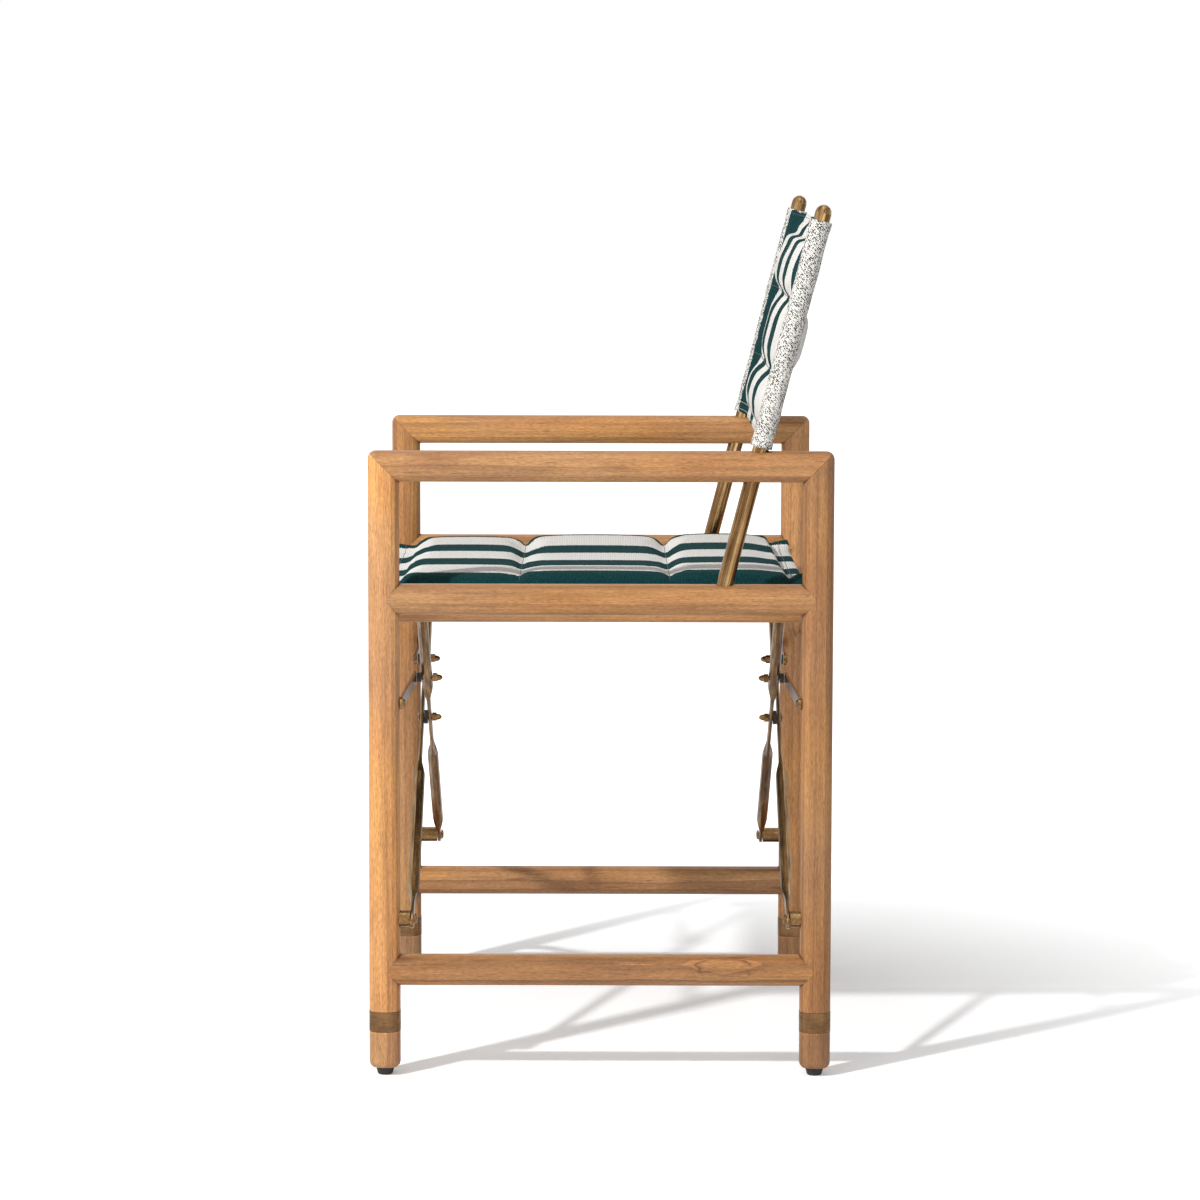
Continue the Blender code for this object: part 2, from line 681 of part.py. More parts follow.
def make_strap_bar_bolt(name, side, end, shade, pivot):
    # It stops short of the strap, where the closed linkage is opened.
    plane_y, washer = strap_bar(side)
    start_y = plane_y + TUBE_RADIUS + GAP + washer
    seat = start_y - plane_y + TUBE_RADIUS + GAP
    origin = strap_bolt_point(side, end * start_y)
    shank = STRAP_BOLT_DIAMETER / 2
    profile = [(0.0, shank, False), (seat, shank, False)] + nut_profile(seat)
    finish(name, turned(profile, origin, (0.0, -end, 0.0), HOLE_SIDES), shade, pivot)


def make_strap_washer(name, side, end, shade, pivot):
    plane_y, washer = strap_bar(side)
    origin = strap_bolt_point(side, end * (plane_y + TUBE_RADIUS + GAP))
    bore = STRAP_BOLT_DIAMETER / 2 + GAP
    outer = STRAP_WASHER_DIAMETER / 2
    finish(name, tube(0.0, washer, outer, bore, origin, (0.0, end, 0.0), 16), shade, pivot)


# Seat rails

def make_seat_rail(name, side, shade, pivot):
    # side is where the rail lies. Its bars have their feet on the other side.
    radius = SEAT_RAIL_RADIUS
    length = SEAT_RAIL_REAR - SEAT_RAIL_FRONT
    profile = [
        (0.0, radius - SEAT_RAIL_CHAMFER, False),
        (SEAT_RAIL_CHAMFER, radius, False),
        (length - SEAT_RAIL_CHAMFER, radius, False),
        (length, radius - SEAT_RAIL_CHAMFER, False),
    ]
    origin = (side * SEAT_RAIL_X, SEAT_RAIL_FRONT, SEAT_RAIL_HEIGHT)
    shape = turned(profile, origin, (0.0, 1.0, 0.0), 24)
    plane_y = INNER_BAR_Y if side > 0 else OUTER_BAR_Y
    sockets = []
    for end in (-1, 1):
        start = bar_point(-side, SEAT_RAIL_ALONG_BAR - SEAT_RAIL_DIAMETER, 0.0, end * plane_y)
        axis = bar_point(-side, 1.0, 0.0, 0.0) - bar_point(-side, 0.0, 0.0, 0.0)
        depth = SEAT_RAIL_DIAMETER + BAR_PAST_RAIL_AXIS + GAP
        sockets.append(rod(0.0, depth, TUBE_RADIUS + GAP, start, axis, 2 * HOLE_SIDES))
    finish(name, combine(shape, sockets), shade, pivot)


# Cushions

def puff_stations(edges, seam_fullness, shares=(0.07, 0.2, 0.5, 0.8, 0.93)):
    # (place, fullness) along a row of puffs, flat at both ends and drawn in at the seams between
    stations = [(edges[0], 0.0)]
    last = len(edges) - 2
    for i, (start, end) in enumerate(zip(edges, edges[1:])):
        before = 0.0 if i == 0 else seam_fullness
        after = 0.0 if i == last else seam_fullness
        for share in shares:
            base = before + (after - before) * share
            fullness = base + (1 - base) * (1 - abs(2 * share - 1) ** 2.4) ** 0.6
            stations.append((start + (end - start) * share, fullness))
        stations.append((end, after))
    return stations


def make_seat_pad(name, shade, pivot):
    # A sling that lies over both seat rails, with three puffs sewn across and a flat hem at each end.
    front = SEAT_RAIL_FRONT - GAP
    rear = SEAT_RAIL_REAR + GAP
    seams = (front + SEAT_SEAM_FROM_FRONT, rear - SEAT_SEAM_FROM_REAR)
    edges = (front + SEAT_HEM_LENGTH, *seams, rear - SEAT_HEM_LENGTH)
    stations = [(front, 0.0)] + puff_stations(edges, SEAT_SEAM_FULLNESS) + [(rear, 0.0)]
    wrap_step = (90.0 - SEAT_WRAP_DEG) / SEAT_WRAP_STEPS
    under = (SEAT_RAIL_RADIUS + GAP) / math.cos(math.radians(wrap_step / 2))
    over = under + SEAT_HEM_THICKNESS
    section = []
    for step in range(SEAT_WRAP_STEPS):
        angle = math.radians(SEAT_WRAP_DEG + step * wrap_step)
        crown = math.sin(math.pi / 2 * step / SEAT_WRAP_STEPS) ** 0.8
        section.append((SEAT_RAIL_X, math.cos(angle), math.sin(angle), crown, 0.0))
    for share in (1.0, 0.85, 0.6, 0.3):
        section.append((SEAT_RAIL_X * share, 0.0, 1.0, 1.0, 1 - share * share))
    mirrored = [(-x, -cosine, sine, crown, belly) for x, cosine, sine, crown, belly in reversed(section)]
    top = []
    bottom = []
    for x, cosine, sine, crown, belly in section + [(0.0, 0.0, 1.0, 1.0, 1.0)] + mirrored:
        top_column = []
        bottom_column = []
        for y, fullness in stations:
            reach = over + SEAT_CROWN * crown * fullness
            bottom_z = SEAT_RAIL_HEIGHT + under * sine - SEAT_BELLY * belly * fullness
            top_column.append((x + reach * cosine, y, SEAT_RAIL_HEIGHT + reach * sine))
            bottom_column.append((x + under * cosine, y, bottom_z))
        top.append(top_column)
        bottom.append(bottom_column)
    finish(name, skin(top + bottom[::-1]), shade, pivot)


def make_back_pad(name, shade, pivot):
    # Three puffs one above the other between the sleeves, fuller on the rear side
    edges = (SLEEVE_BOTTOM + BACK_HEM_LENGTH, BACK_SEAM_LOW, BACK_SEAM_HIGH, SLEEVE_TOP - BACK_HEM_LENGTH)
    stations = [(SLEEVE_BOTTOM, 0.0)] + puff_stations(edges, 0.0) + [(SLEEVE_TOP, 0.0)]
    half_width = HALF_SPACING - SLEEVE_DIAMETER / 2 - GAP
    rearward = Vector((0.0, math.cos(POST_LEAN), -math.sin(POST_LEAN)))
    front = []
    rear = []
    for share in (1.0, 0.96, 0.86, 0.66, 0.34, 0.0, -0.34, -0.66, -0.86, -0.96, -1.0):
        across = (1 - abs(share) ** 6) ** 0.6
        front_column = []
        rear_column = []
        for height, fullness in stations:
            full = across * fullness
            line = Vector((share * half_width, post_point(height), height))
            middle = line + rearward * (BACK_PUFF_REARWARD * full)
            half = (BACK_HEM_THICKNESS + BACK_PUFF * full) / 2
            front_column.append(middle - rearward * half)
            rear_column.append(middle + rearward * half)
        front.append(front_column)
        rear.append(rear_column)
    finish(name, skin(front + rear[::-1]), shade, pivot)


def make_sleeve(name, side, shade, pivot):
    origin = (side * HALF_SPACING, post_point(SLEEVE_BOTTOM), SLEEVE_BOTTOM)
    length = (SLEEVE_TOP - SLEEVE_BOTTOM) / math.cos(POST_LEAN)
    inner = POST_DIAMETER / 2 + GAP
    finish(name, tube(0.0, length, SLEEVE_DIAMETER / 2, inner, origin, POST_AXIS, 20), shade, pivot)


# Assembly

def make_side(word, side, plane_y, standoff, shades, pivot):
    teak = shades["teak"]
    brass = shades["brass"]
    for place, end in (("front", -1), ("rear", 1)):
        make_leg(f"{word}_{place}_leg", side, end, teak, pivot)
        make_band(f"{word}_{place}_band", side, end, shades["band"], pivot)
        make_glide(f"{word}_{place}_glide", side, end, shades["rubber"], pivot)
        make_standoff(f"{word}_{place}_standoff", side, end, standoff, brass, pivot)
        make_pivot_bolt(f"{word}_{place}_pivot_bolt", side, end, plane_y, brass, pivot)
        make_strap_leg_bolt(f"{word}_{place}_strap_leg_bolt", side, end, brass, pivot)
    make_armrest(f"{word}_armrest", side, teak, pivot)
    make_side_rail(f"{word}_side_rail", side, teak, pivot)
    make_stretcher(f"{word}_stretcher", side, teak, pivot)
    make_post(f"{word}_back_post", side, brass, pivot)
    make_sleeve(f"{word}_back_sleeve", side, shades["fleck"], pivot)


def make_scissor_half(word, side, plane_y, shades, pivot):
    # The bars with their feet on this side, with the seat rail and the strap bolts that they carry
    for place, end in (("front", -1), ("rear", 1)):
        make_bar(f"{place}_bar_from_{word}", side, end, plane_y, shades["brass"], pivot)
        other = "right" if side > 0 else "left"
        make_strap_bar_bolt(f"{other}_{place}_strap_bar_bolt", -side, end, shades["brass"], pivot)
        make_strap_washer(f"{other}_{place}_strap_washer", -side, end, shades["washer"], pivot)
    make_seat_rail(f"{other}_seat_rail", -side, shades["teak"], pivot)


def make_straps(word, side, shades, pivot):
    for place, end in (("front", -1), ("rear", 1)):
        make_strap(f"{word}_{place}_strap", side, end, shades["brass"], pivot)


def build():
    for old in list(bpy.data.objects):
        bpy.data.objects.remove(old)
    shades = make_materials()
    left_frame = make_pivot("left_frame", (0.0, 0.0, 0.0))
    left_bars = make_pivot("left_bars", (HALF_SPACING, 0.0, PIVOT_HEIGHT), left_frame)
    right_bars = make_pivot("right_bars", (0.0, 0.0, CROSSING_HEIGHT), left_bars)
    right_frame = make_pivot("right_frame", (-HALF_SPACING, 0.0, PIVOT_HEIGHT), right_bars)
    left_straps = make_pivot("left_straps", (HALF_SPACING, 0.0, STRAP_PIVOT_HEIGHT), left_frame)
    right_straps = make_pivot("right_straps", (-HALF_SPACING, 0.0, STRAP_PIVOT_HEIGHT), right_frame)

    make_side("left", 1, OUTER_BAR_Y, SHORT_STANDOFF, shades, left_frame)
    make_side("right", -1, INNER_BAR_Y, LONG_STANDOFF, shades, right_frame)
    make_scissor_half("left", 1, OUTER_BAR_Y, shades, left_bars)
    make_scissor_half("right", -1, INNER_BAR_Y, shades, right_bars)
    for place, end in (("front", -1), ("rear", 1)):
        make_crossing_bolt(f"{place}_crossing_bolt", end, shades["brass"], left_bars)
        make_crossing_washer(f"{place}_crossing_washer", end, shades["washer"], left_bars)
    make_straps("left", 1, shades, left_straps)
    make_straps("right", -1, shades, right_straps)
    make_seat_pad("seat_pad", shades["stripe"], left_bars)
    make_back_pad("back_pad", shades["stripe"], left_frame)

    folded_spacing = 2 * HALF_BAR * math.cos(FOLDED_ANGLE)
    fold = FOLDED_ANGLE - OPEN_ANGLE
    print("pivot height", round(PIVOT_HEIGHT, 6), "crossing height", round(CROSSING_HEIGHT, 6))
    print("strap pivot height", round(STRAP_PIVOT_HEIGHT, 6), "strap length", round(STRAP_LENGTH, 6))
    print("fold range in degrees", round(math.degrees(fold), 4))
    print("strap turns per fold turn", round(STRAP_SWING / fold, 6))
    print("seat rail height", round(SEAT_RAIL_HEIGHT, 6), "folded frame spacing", round(folded_spacing, 6))


build()
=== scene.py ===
import math

import bmesh
import bpy
from mathutils import Matrix, Vector, noise
from mathutils.bvhtree import BVHTree


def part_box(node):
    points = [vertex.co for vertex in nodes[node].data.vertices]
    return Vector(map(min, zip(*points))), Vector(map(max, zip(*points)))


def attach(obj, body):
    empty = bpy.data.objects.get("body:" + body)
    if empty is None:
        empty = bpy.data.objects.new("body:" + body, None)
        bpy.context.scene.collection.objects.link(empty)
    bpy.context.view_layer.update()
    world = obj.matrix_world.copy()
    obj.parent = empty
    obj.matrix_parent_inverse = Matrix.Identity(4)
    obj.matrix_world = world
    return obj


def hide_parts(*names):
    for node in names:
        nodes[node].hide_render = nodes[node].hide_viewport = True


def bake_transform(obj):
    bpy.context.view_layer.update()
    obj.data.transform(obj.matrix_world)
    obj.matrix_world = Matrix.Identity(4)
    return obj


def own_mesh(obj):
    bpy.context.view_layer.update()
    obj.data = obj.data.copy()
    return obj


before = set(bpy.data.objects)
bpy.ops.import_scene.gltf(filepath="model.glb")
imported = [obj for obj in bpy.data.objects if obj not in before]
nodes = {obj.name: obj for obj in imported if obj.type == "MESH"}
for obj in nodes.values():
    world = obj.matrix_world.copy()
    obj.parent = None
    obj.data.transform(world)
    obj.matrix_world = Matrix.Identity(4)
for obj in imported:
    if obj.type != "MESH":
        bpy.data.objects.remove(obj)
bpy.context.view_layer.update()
postLean = 14.5     # degrees that the back posts lean to the rear
barSlant = 33.35    # degrees that the open scissor bars slant
bpy.ops.object.select_all(action="DESELECT")
print("frame loaded with", len(nodes), "nodes")


# small helpers for node trees

def startMaterial(name):
    made = bpy.data.materials.new(name)
    made.use_nodes = True
    return made, made.node_tree, made.node_tree.nodes["Principled BSDF"]


def addNode(tree, kind, label="", **settings):
    node = tree.nodes.new("ShaderNode" + kind)
    node.label = label
    for key, value in settings.items():
        setattr(node, key, value)
    return node


def feed(tree, node, **values):
    # n0, n6 and the like are sockets by number, other names sockets by name; a value is a number, a colour
    # or another node's output, which is linked
    for key, value in values.items():
        numbered = key[0] == "n" and key[1:].isdigit()
        socket = node.inputs[int(key[1:])] if numbered else node.inputs[key.replace("_", " ")]
        if isinstance(value, bpy.types.NodeSocket):
            tree.links.new(value, socket)
        else:
            socket.default_value = value


def greys(*stops):
    # stops of a ramp from pairs of a place and a level of grey
    return [(place, (level, level, level)) for place, level in stops]


def addRamp(tree, factor, stops, label="", steps=False):
    ramp = addNode(tree, "ValToRGB", label)
    ramp.color_ramp.interpolation = "CONSTANT" if steps else "LINEAR"
    marks = ramp.color_ramp.elements
    marks.remove(marks[1])
    marks[0].position = stops[0][0]
    marks[0].color = (*stops[0][1], 1)
    for place, colour in stops[1:]:
        marks.new(place).color = (*colour, 1)
    tree.links.new(factor, ramp.inputs["Fac"])
    return ramp.outputs["Color"]


def addMath(tree, operation, first, second=0.0, label=""):
    sums = addNode(tree, "Math", label, operation=operation)
    feed(tree, sums, n0=first, n1=second)
    return sums.outputs[0]


def addSum(tree, first, firstShare, second, secondShare):
    firstPart = addMath(tree, "MULTIPLY", first, firstShare)
    return addMath(tree, "ADD", firstPart, addMath(tree, "MULTIPLY", second, secondShare))


def addMix(tree, factor, first, second, label="", blendType="MIX"):
    mix = addNode(tree, "Mix", label, data_type="RGBA", blend_type=blendType)
    feed(tree, mix, n0=factor, n6=first, n7=second)
    return mix.outputs[2]


def addTone(tree, colour, factor, stops, label):
    # lightens or darkens a colour by a ramp of tones
    return addMix(tree, 1.0, colour, addRamp(tree, factor, stops, label + " tone"), label, "MULTIPLY")


def addMapping(tree, vector, scale=(1, 1, 1), place=(0, 0, 0), turn=(0, 0, 0), label="", kind="POINT"):
    mapping = addNode(tree, "Mapping", label, vector_type=kind)
    feed(tree, mapping, Vector=vector, Location=place, Rotation=turn, Scale=scale)
    return mapping.outputs[0]


def addNoise(tree, vector, scale, detail, roughness, label):
    clouds = addNode(tree, "TexNoise", label)
    feed(tree, clouds, Vector=vector, Scale=scale, Detail=detail, Roughness=roughness)
    return clouds.outputs["Fac"]


def addBump(tree, height, strength, distance):
    bump = addNode(tree, "Bump")
    feed(tree, bump, Height=height, Strength=strength, Distance=distance)
    return bump.outputs[0]


# camera, as the photograph was taken: low, from the chair's left side, with a long lens
cameraView = {
    "place": (4.66286, -0.00351, 0.98947),
    "lookDown": 0.1115,     # radians
    "lookAside": 0.0006,
    "roll": 0.0023,
    "lens": 128.95,
}


def addCamera():
    down = cameraView["lookDown"]
    aside = cameraView["lookAside"]
    ahead = Vector((-math.cos(down) * math.cos(aside), math.cos(down) * math.sin(aside), -math.sin(down)))
    right = Vector((math.sin(aside), math.cos(aside), 0.0))
    up = right.cross(ahead)
    roll = cameraView["roll"]
    rightRolled = right * math.cos(roll) + up * math.sin(roll)
    upRolled = up * math.cos(roll) - right * math.sin(roll)
    bpy.ops.object.camera_add()
    camera = bpy.context.object
    camera.name = "photoCamera"
    camera.data.sensor_width = 36
    camera.data.lens = cameraView["lens"]
    camera.data.clip_end = 60
    turn = Matrix((rightRolled, upRolled, -ahead)).transposed().to_4x4()
    camera.matrix_world = Matrix.Translation(cameraView["place"]) @ turn
    bpy.context.scene.camera = camera


# light: a key lamp high at the front left, soft lamps above and in front, two tall ones and a pale sky
studioLight = {
    # place, size in metres and power
    "key": ((2.76, -2.49, 3.31), 0.2, 175),
    "top": ((1.5, -0.2, 3.2), 2.5, 16),
    "fill": ((1.2, -3.2, 1.3), 2.0, 12),
    # tall lamps that draw the bright lines on the brass
    "stripPlaces": ((3.0, 1.15, 1.0), (3.0, -1.25, 1.0)),
    "stripSize": (0.5, 1.8),
    "stripPower": 9,
    "skyLevel": 0.29,
    "floorColour": (0.97, 0.97, 0.97),
    # glow that only the camera sees, so that the floor is white and keeps its shadow: (metres away, glow)
    "floorLift": ((0.35, 0.22), (1.0, 0.79), (2.2, 1.1)),
    "floorReach": 4.0,
}


def addLamp(name, place, size, power, tall=None):
    bpy.ops.object.light_add(type="AREA", location=place)
    lamp = bpy.context.object
    lamp.name = name
    lamp.data.size = size
    if tall:
        lamp.data.shape = "RECTANGLE"
        lamp.data.size_y = tall
    lamp.data.energy = power
    aim = Vector((0.0, 0.0, 0.45)) - lamp.location
    lamp.rotation_euler = aim.to_track_quat("-Z", "Y").to_euler()
    return lamp


def addLights():
    key = addLamp("key", *studioLight["key"])
    key.visible_glossy = False      # so that the small lamp burns no white spots into the brass caps
    addLamp("top", *studioLight["top"])
    addLamp("fill", *studioLight["fill"])
    wide, tall = studioLight["stripSize"]
    for place in studioLight["stripPlaces"]:
        addLamp("strip", place, wide, studioLight["stripPower"], tall)
    world = bpy.data.worlds.new("paleStudio")
    bpy.context.scene.world = world
    world.use_nodes = True
    # the camera and reflections see a white room, everything else gets its softer light
    tree = world.node_tree
    rays = addNode(tree, "LightPath").outputs
    straight = addMath(tree, "MAXIMUM", rays["Is Camera Ray"], rays["Is Glossy Ray"])
    white = addMath(tree, "MAXIMUM", straight, rays["Is Transmission Ray"])
    level = addNode(tree, "MapRange")
    feed(tree, level, Value=white, To_Min=studioLight["skyLevel"], To_Max=1.0)
    feed(tree, tree.nodes["Background"], Color=(1, 1, 1, 1), Strength=level.outputs[0])


def addFloor():
    bpy.ops.mesh.primitive_plane_add(size=40)
    floor = bpy.context.object
    floor.name = "floor"
    pale, tree, shader = startMaterial("paleFloor")
    place = addNode(tree, "TexCoord").outputs["Object"]
    away = addNode(tree, "VectorMath", operation="LENGTH")
    tree.links.new(place, away.inputs[0])
    reach = studioLight["floorReach"]
    share = addMath(tree, "DIVIDE", away.outputs["Value"], reach)
    glows = [(metres / reach, glow) for metres, glow in studioLight["floorLift"]]
    level = addRamp(tree, share, greys((0.0, glows[0][1]), *glows))
    rays = addNode(tree, "LightPath").outputs
    lift = addMath(tree, "MULTIPLY", rays["Is Camera Ray"], level)
    feed(tree, shader, Base_Color=(*studioLight["floorColour"], 1), Roughness=1.0, Specular_IOR_Level=0.0)
    feed(tree, shader, Emission_Color=(1, 1, 1, 1), Emission_Strength=lift)
    floor.data.materials.append(pale)


addCamera()
addLights()
addFloor()
bpy.context.scene.view_settings.view_transform = "Standard"
print("camera, light and floor are in place")


# teak: fine grain with soft growth lines, cut from a log whose heart lies beside each member
teak = {
    "pale": (0.735, 0.380, 0.147),
    "warm": (0.590, 0.280, 0.110),
    "golden": (1.06, 1.01, 0.88),
    "rosy": (0.95, 0.98, 1.10),
    "line": (0.27, 0.112, 0.044),
    "pore": (0.17, 0.072, 0.028),
    "ringSpacing": 0.0105,
    "heartAway": 0.085,
    "heartLean": 0.016,         # radians between the log's heart and the member
    "memberTint": (1.0, 0.98, 0.935),
    "gloss": (0.54, 0.38),      # roughness in the dark and in the light fibres
    "jointShade": 0.0040,       # metres that the painted shade in the joints reaches out
    # colour of the painted shade in the joints and inner corners
    "jointPaintedShade": (0.22, 0.17, 0.14),
    "footTop": 0.045,           # below the bands the legs are darker and greyer
    "footTone": (0.76, 0.80, 0.97),
}
# metres that a knot reaches along and across the grain, and that it pushes the grain aside
knotShape = {"along": 0.055, "across": 0.026, "push": 0.0075}


def addKnot(tree, place, grain, knot, along):
    # bends the grain round the knot; also how near the knot is, and the unevenness of its edge
    size = [1 / knotShape["along" if k == along else "across"] for k in range(3)]
    middle = [-knot[k] * size[k] for k in range(3)]
    ball = addNode(tree, "TexGradient", "knot", gradient_type="SPHERICAL")
    tree.links.new(addMapping(tree, place, size, middle, label="round the knot"), ball.inputs[0])
    near = ball.outputs["Fac"]
    uneven = addNoise(tree, place, 60.0, 2.0, 0.5, "uneven knot")
    push = addMath(tree, "MULTIPLY", addMath(tree, "POWER", near, 1.6), knotShape["push"])
    push = addMath(tree, "MULTIPLY", push, addMath(tree, "MULTIPLY", uneven, 2.0))
    bend = addNode(tree, "CombineXYZ")
    feed(tree, bend, X=push, Z=push)
    bent = addNode(tree, "VectorMath", "grain bends round the knot")
    feed(tree, bent, n0=grain, n1=bend.outputs[0])
    return bent.outputs[0], near, uneven


def makeTeak(name, along, seed, tone, lines, marks, knot):
    # along is the grain's direction, 1 for Y and 2 for Z; tone lightens or darkens the whole member
    made, tree, shader = startMaterial(name)
    place = addNode(tree, "TexCoord").outputs["Object"]

    def drawnOut(share, shift=(0, 0, 0), turn=(0, 0, 0), label=""):
        return addMapping(tree, place, [share if k == along else 1.0 for k in range(3)], shift, turn, label)

    lean = (teak["heartLean"] * math.sin(seed * 2.3), teak["heartLean"] * math.cos(seed * 1.7), 0.0)
    around = seed * 1.9
    heart = (teak["heartAway"] * math.cos(around), teak["heartAway"] * math.sin(around), 0.37 * seed)
    if along == 1:
        lean = (lean[0], 0.0, lean[1])
        heart = (heart[0], heart[2], heart[1])
    grain = drawnOut(0.06, heart, lean, "grain direction")
    if knot:
        grain, near, uneven = addKnot(tree, place, grain, knot, along)
    waver = addNoise(tree, grain, 18.0, 3.0, 0.55, "slow waver of the rings")
    rings = addNode(tree, "TexWave", "growth rings", wave_type="RINGS", wave_profile="SAW")
    rings.rings_direction = "XYZ"[along]
    feed(tree, rings, Vector=grain, Scale=0.314 / teak["ringSpacing"], Distortion=2.2, Detail=3.0)
    feed(tree, rings, Detail_Scale=1.6, Detail_Roughness=0.6)
    shift = (seed, seed, seed)
    fibre = addNoise(tree, drawnOut(0.04), 640.0, 3.0, 0.6, "fibres")
    flecks = addNoise(tree, drawnOut(0.20, shift), 880.0, 2.0, 0.6, "short flecks")
    streak = addNoise(tree, drawnOut(0.035, shift), 150.0, 2.0, 0.5, "streaks")
    pore = addNoise(tree, drawnOut(0.06, shift), 1150.0, 1.5, 0.5, "pores")
    smudge = addNoise(tree, drawnOut(0.16, shift), 75.0, 2.0, 0.5, "dark marks")
    plank = addNoise(tree, drawnOut(0.25, shift), 26.0, 2.0, 0.5, "colour along the plank")
    hue = addNoise(tree, drawnOut(0.35, shift), 13.0, 1.0, 0.5, "golden to rosy")
    body = addRamp(tree, plank, [(0.34, teak["warm"]), (0.64, teak["pale"])], "plank colour")
    body = addTone(tree, body, hue, [(0.36, teak["golden"]), (0.62, teak["rosy"])], "tint")
    lateStops = greys((0.0, 0.0), (0.55, 0.05), (0.90, 0.7), (0.985, 1.0), (1.0, 0.1))
    late = addRamp(tree, rings.outputs["Fac"], lateStops, "late wood")
    lateShare = addMath(tree, "MULTIPLY", late, addMath(tree, "MULTIPLY", waver, lines))
    lined = addMix(tree, lateShare, body, (*teak["line"], 1), "growth lines")
    lined = addTone(tree, lined, streak, greys((0.30, 0.78), (0.50, 1.0), (0.72, 1.08)), "streaks")
    combed = addTone(tree, lined, fibre, greys((0.30, 0.82), (0.55, 1.0), (0.78, 1.10)), "fibres")
    combed = addTone(tree, combed, flecks, greys((0.31, 0.76), (0.51, 1.0), (0.70, 1.20)), "flecks")
    pores = addRamp(tree, pore, greys((0.65, 0.0), (0.73, 0.6)), "pore marks")
    pored = addMix(tree, pores, combed, (*teak["pore"], 1), "pores")
    dark = addRamp(tree, smudge, greys((0.64, 0.0), (0.74, marks)), "marks")
    pored = addMix(tree, dark, pored, (*teak["line"], 1), "dark marks")
    if knot:
        swirl = addMath(tree, "ADD", near, addMath(tree, "MULTIPLY", streak, 0.35))
        scarStops = greys((0.50, 0.0), (0.55, 0.9), (0.58, 0.25), (0.66, 0.0))
        patchy = addRamp(tree, uneven, greys((0.44, 0.0), (0.56, 1.0)), "broken scar")
        scar = addMath(tree, "MULTIPLY", addRamp(tree, swirl, scarStops, "scar"), patchy)
        pored = addMix(tree, scar, pored, (*teak["pore"], 1), "scar beside the knot")
    # the member's brightness: partly the wood's own colour, partly painted light and shade
    memberTone = (*[tone * part for part in teak["memberTint"]], 1)
    toned = addMix(tree, 1.0, pored, memberTone, "tone", "MULTIPLY")
    if along == 2:
        height = addNode(tree, "SeparateXYZ")
        tree.links.new(place, height.inputs[0])
        foot = addMath(tree, "LESS_THAN", height.outputs["Z"], teak["footTop"])
        darker = addMix(tree, 1.0, toned, (*teak["footTone"], 1), "foot", "MULTIPLY")
        toned = addMix(tree, foot, toned, darker)
    # painted shade: ambient occlusion darkens the wood in the joints and inner corners, where shade falls
    corner = addNode(tree, "AmbientOcclusion", "shade in the joints")
    corner.samples = 8
    feed(tree, corner, Distance=teak["jointShade"])
    paintedShadeStops = [(0.45, teak["jointPaintedShade"]), (0.96, (1, 1, 1))]
    shaded = addTone(tree, toned, corner.outputs["AO"], paintedShadeStops, "joints")
    gloss = addRamp(tree, fibre, greys((0.3, teak["gloss"][0]), (0.7, teak["gloss"][1])), "gloss")
    relief = addMath(tree, "SUBTRACT", fibre, addMath(tree, "MULTIPLY", pores, 0.8))
    feed(tree, shader, Base_Color=shaded, Roughness=gloss, Normal=addBump(tree, relief, 0.25, 0.0006))
    feed(tree, shader, Specular_IOR_Level=0.42)
    return made


# aged brass: tarnished patches, and long dark and bright streaks along the tube that are painted
# reflections
brass = {
    "tarnish": (0.085, 0.045, 0.017),
    "metal": (0.240, 0.131, 0.053),
    "bright": (0.50, 0.330, 0.145),
}


def makeBrass(name, turn=(0, 0, 0), longer=(1, 1, 1), seed=0.0, reflectionAndTarnishContrast=1.0):
    # turn brings a leaning tube upright, longer draws its painted reflection streaks out along it, and the
    # last argument is how strong the tarnish and the painted reflections look
    made, tree, shader = startMaterial(name)
    place = addNode(tree, "TexCoord").outputs["Object"]
    upright = addMapping(tree, place, longer, turn=turn, label="along the tube", kind="TEXTURE")
    patches = addNoise(tree, addMapping(tree, place, place=(seed, 0, 0)), 42.0, 4.0, 0.6, "tarnish")
    shifted = addMapping(tree, upright, place=(0, seed, 0))
    # painted reflection: long dark and bright streaks along the tube stand in for the lamps and the dark
    # room that polished brass mirrors
    streaks = addNoise(tree, shifted, 330.0, 2.0, 0.55, "painted reflection streaks")
    specks = addNoise(tree, place, 900.0, 2.0, 0.6, "specks")
    total = addSum(tree, patches, 0.22, streaks, 0.78)
    uneven = addMath(tree, "MULTIPLY", addMath(tree, "SUBTRACT", total, 0.5), reflectionAndTarnishContrast)
    total = addMath(tree, "ADD", uneven, 0.5)
    # the dark end is real tarnish and also the dark of the painted reflections, the bright end is a painted
    # highlight
    shades = [(0.36, brass["tarnish"]), (0.49, brass["metal"]), (0.64, brass["bright"])]
    colour = addRamp(tree, total, shades, "brass colour")
    spotted = addTone(tree, colour, specks, greys((0.28, 0.86), (0.40, 1.0)), "dark specks")
    gloss = addRamp(tree, total, greys((0.36, 0.27), (0.62, 0.15)), "gloss")
    relief = addBump(tree, streaks, 0.06, 0.0003)
    feed(tree, shader, Base_Color=spotted, Roughness=gloss, Normal=relief, Metallic=1.0)
    return made


# the bands let into the legs: dark bronze with a brushed, rubbed look
band = {"dark": (0.165, 0.092, 0.043), "rubbed": (0.300, 0.165, 0.078)}


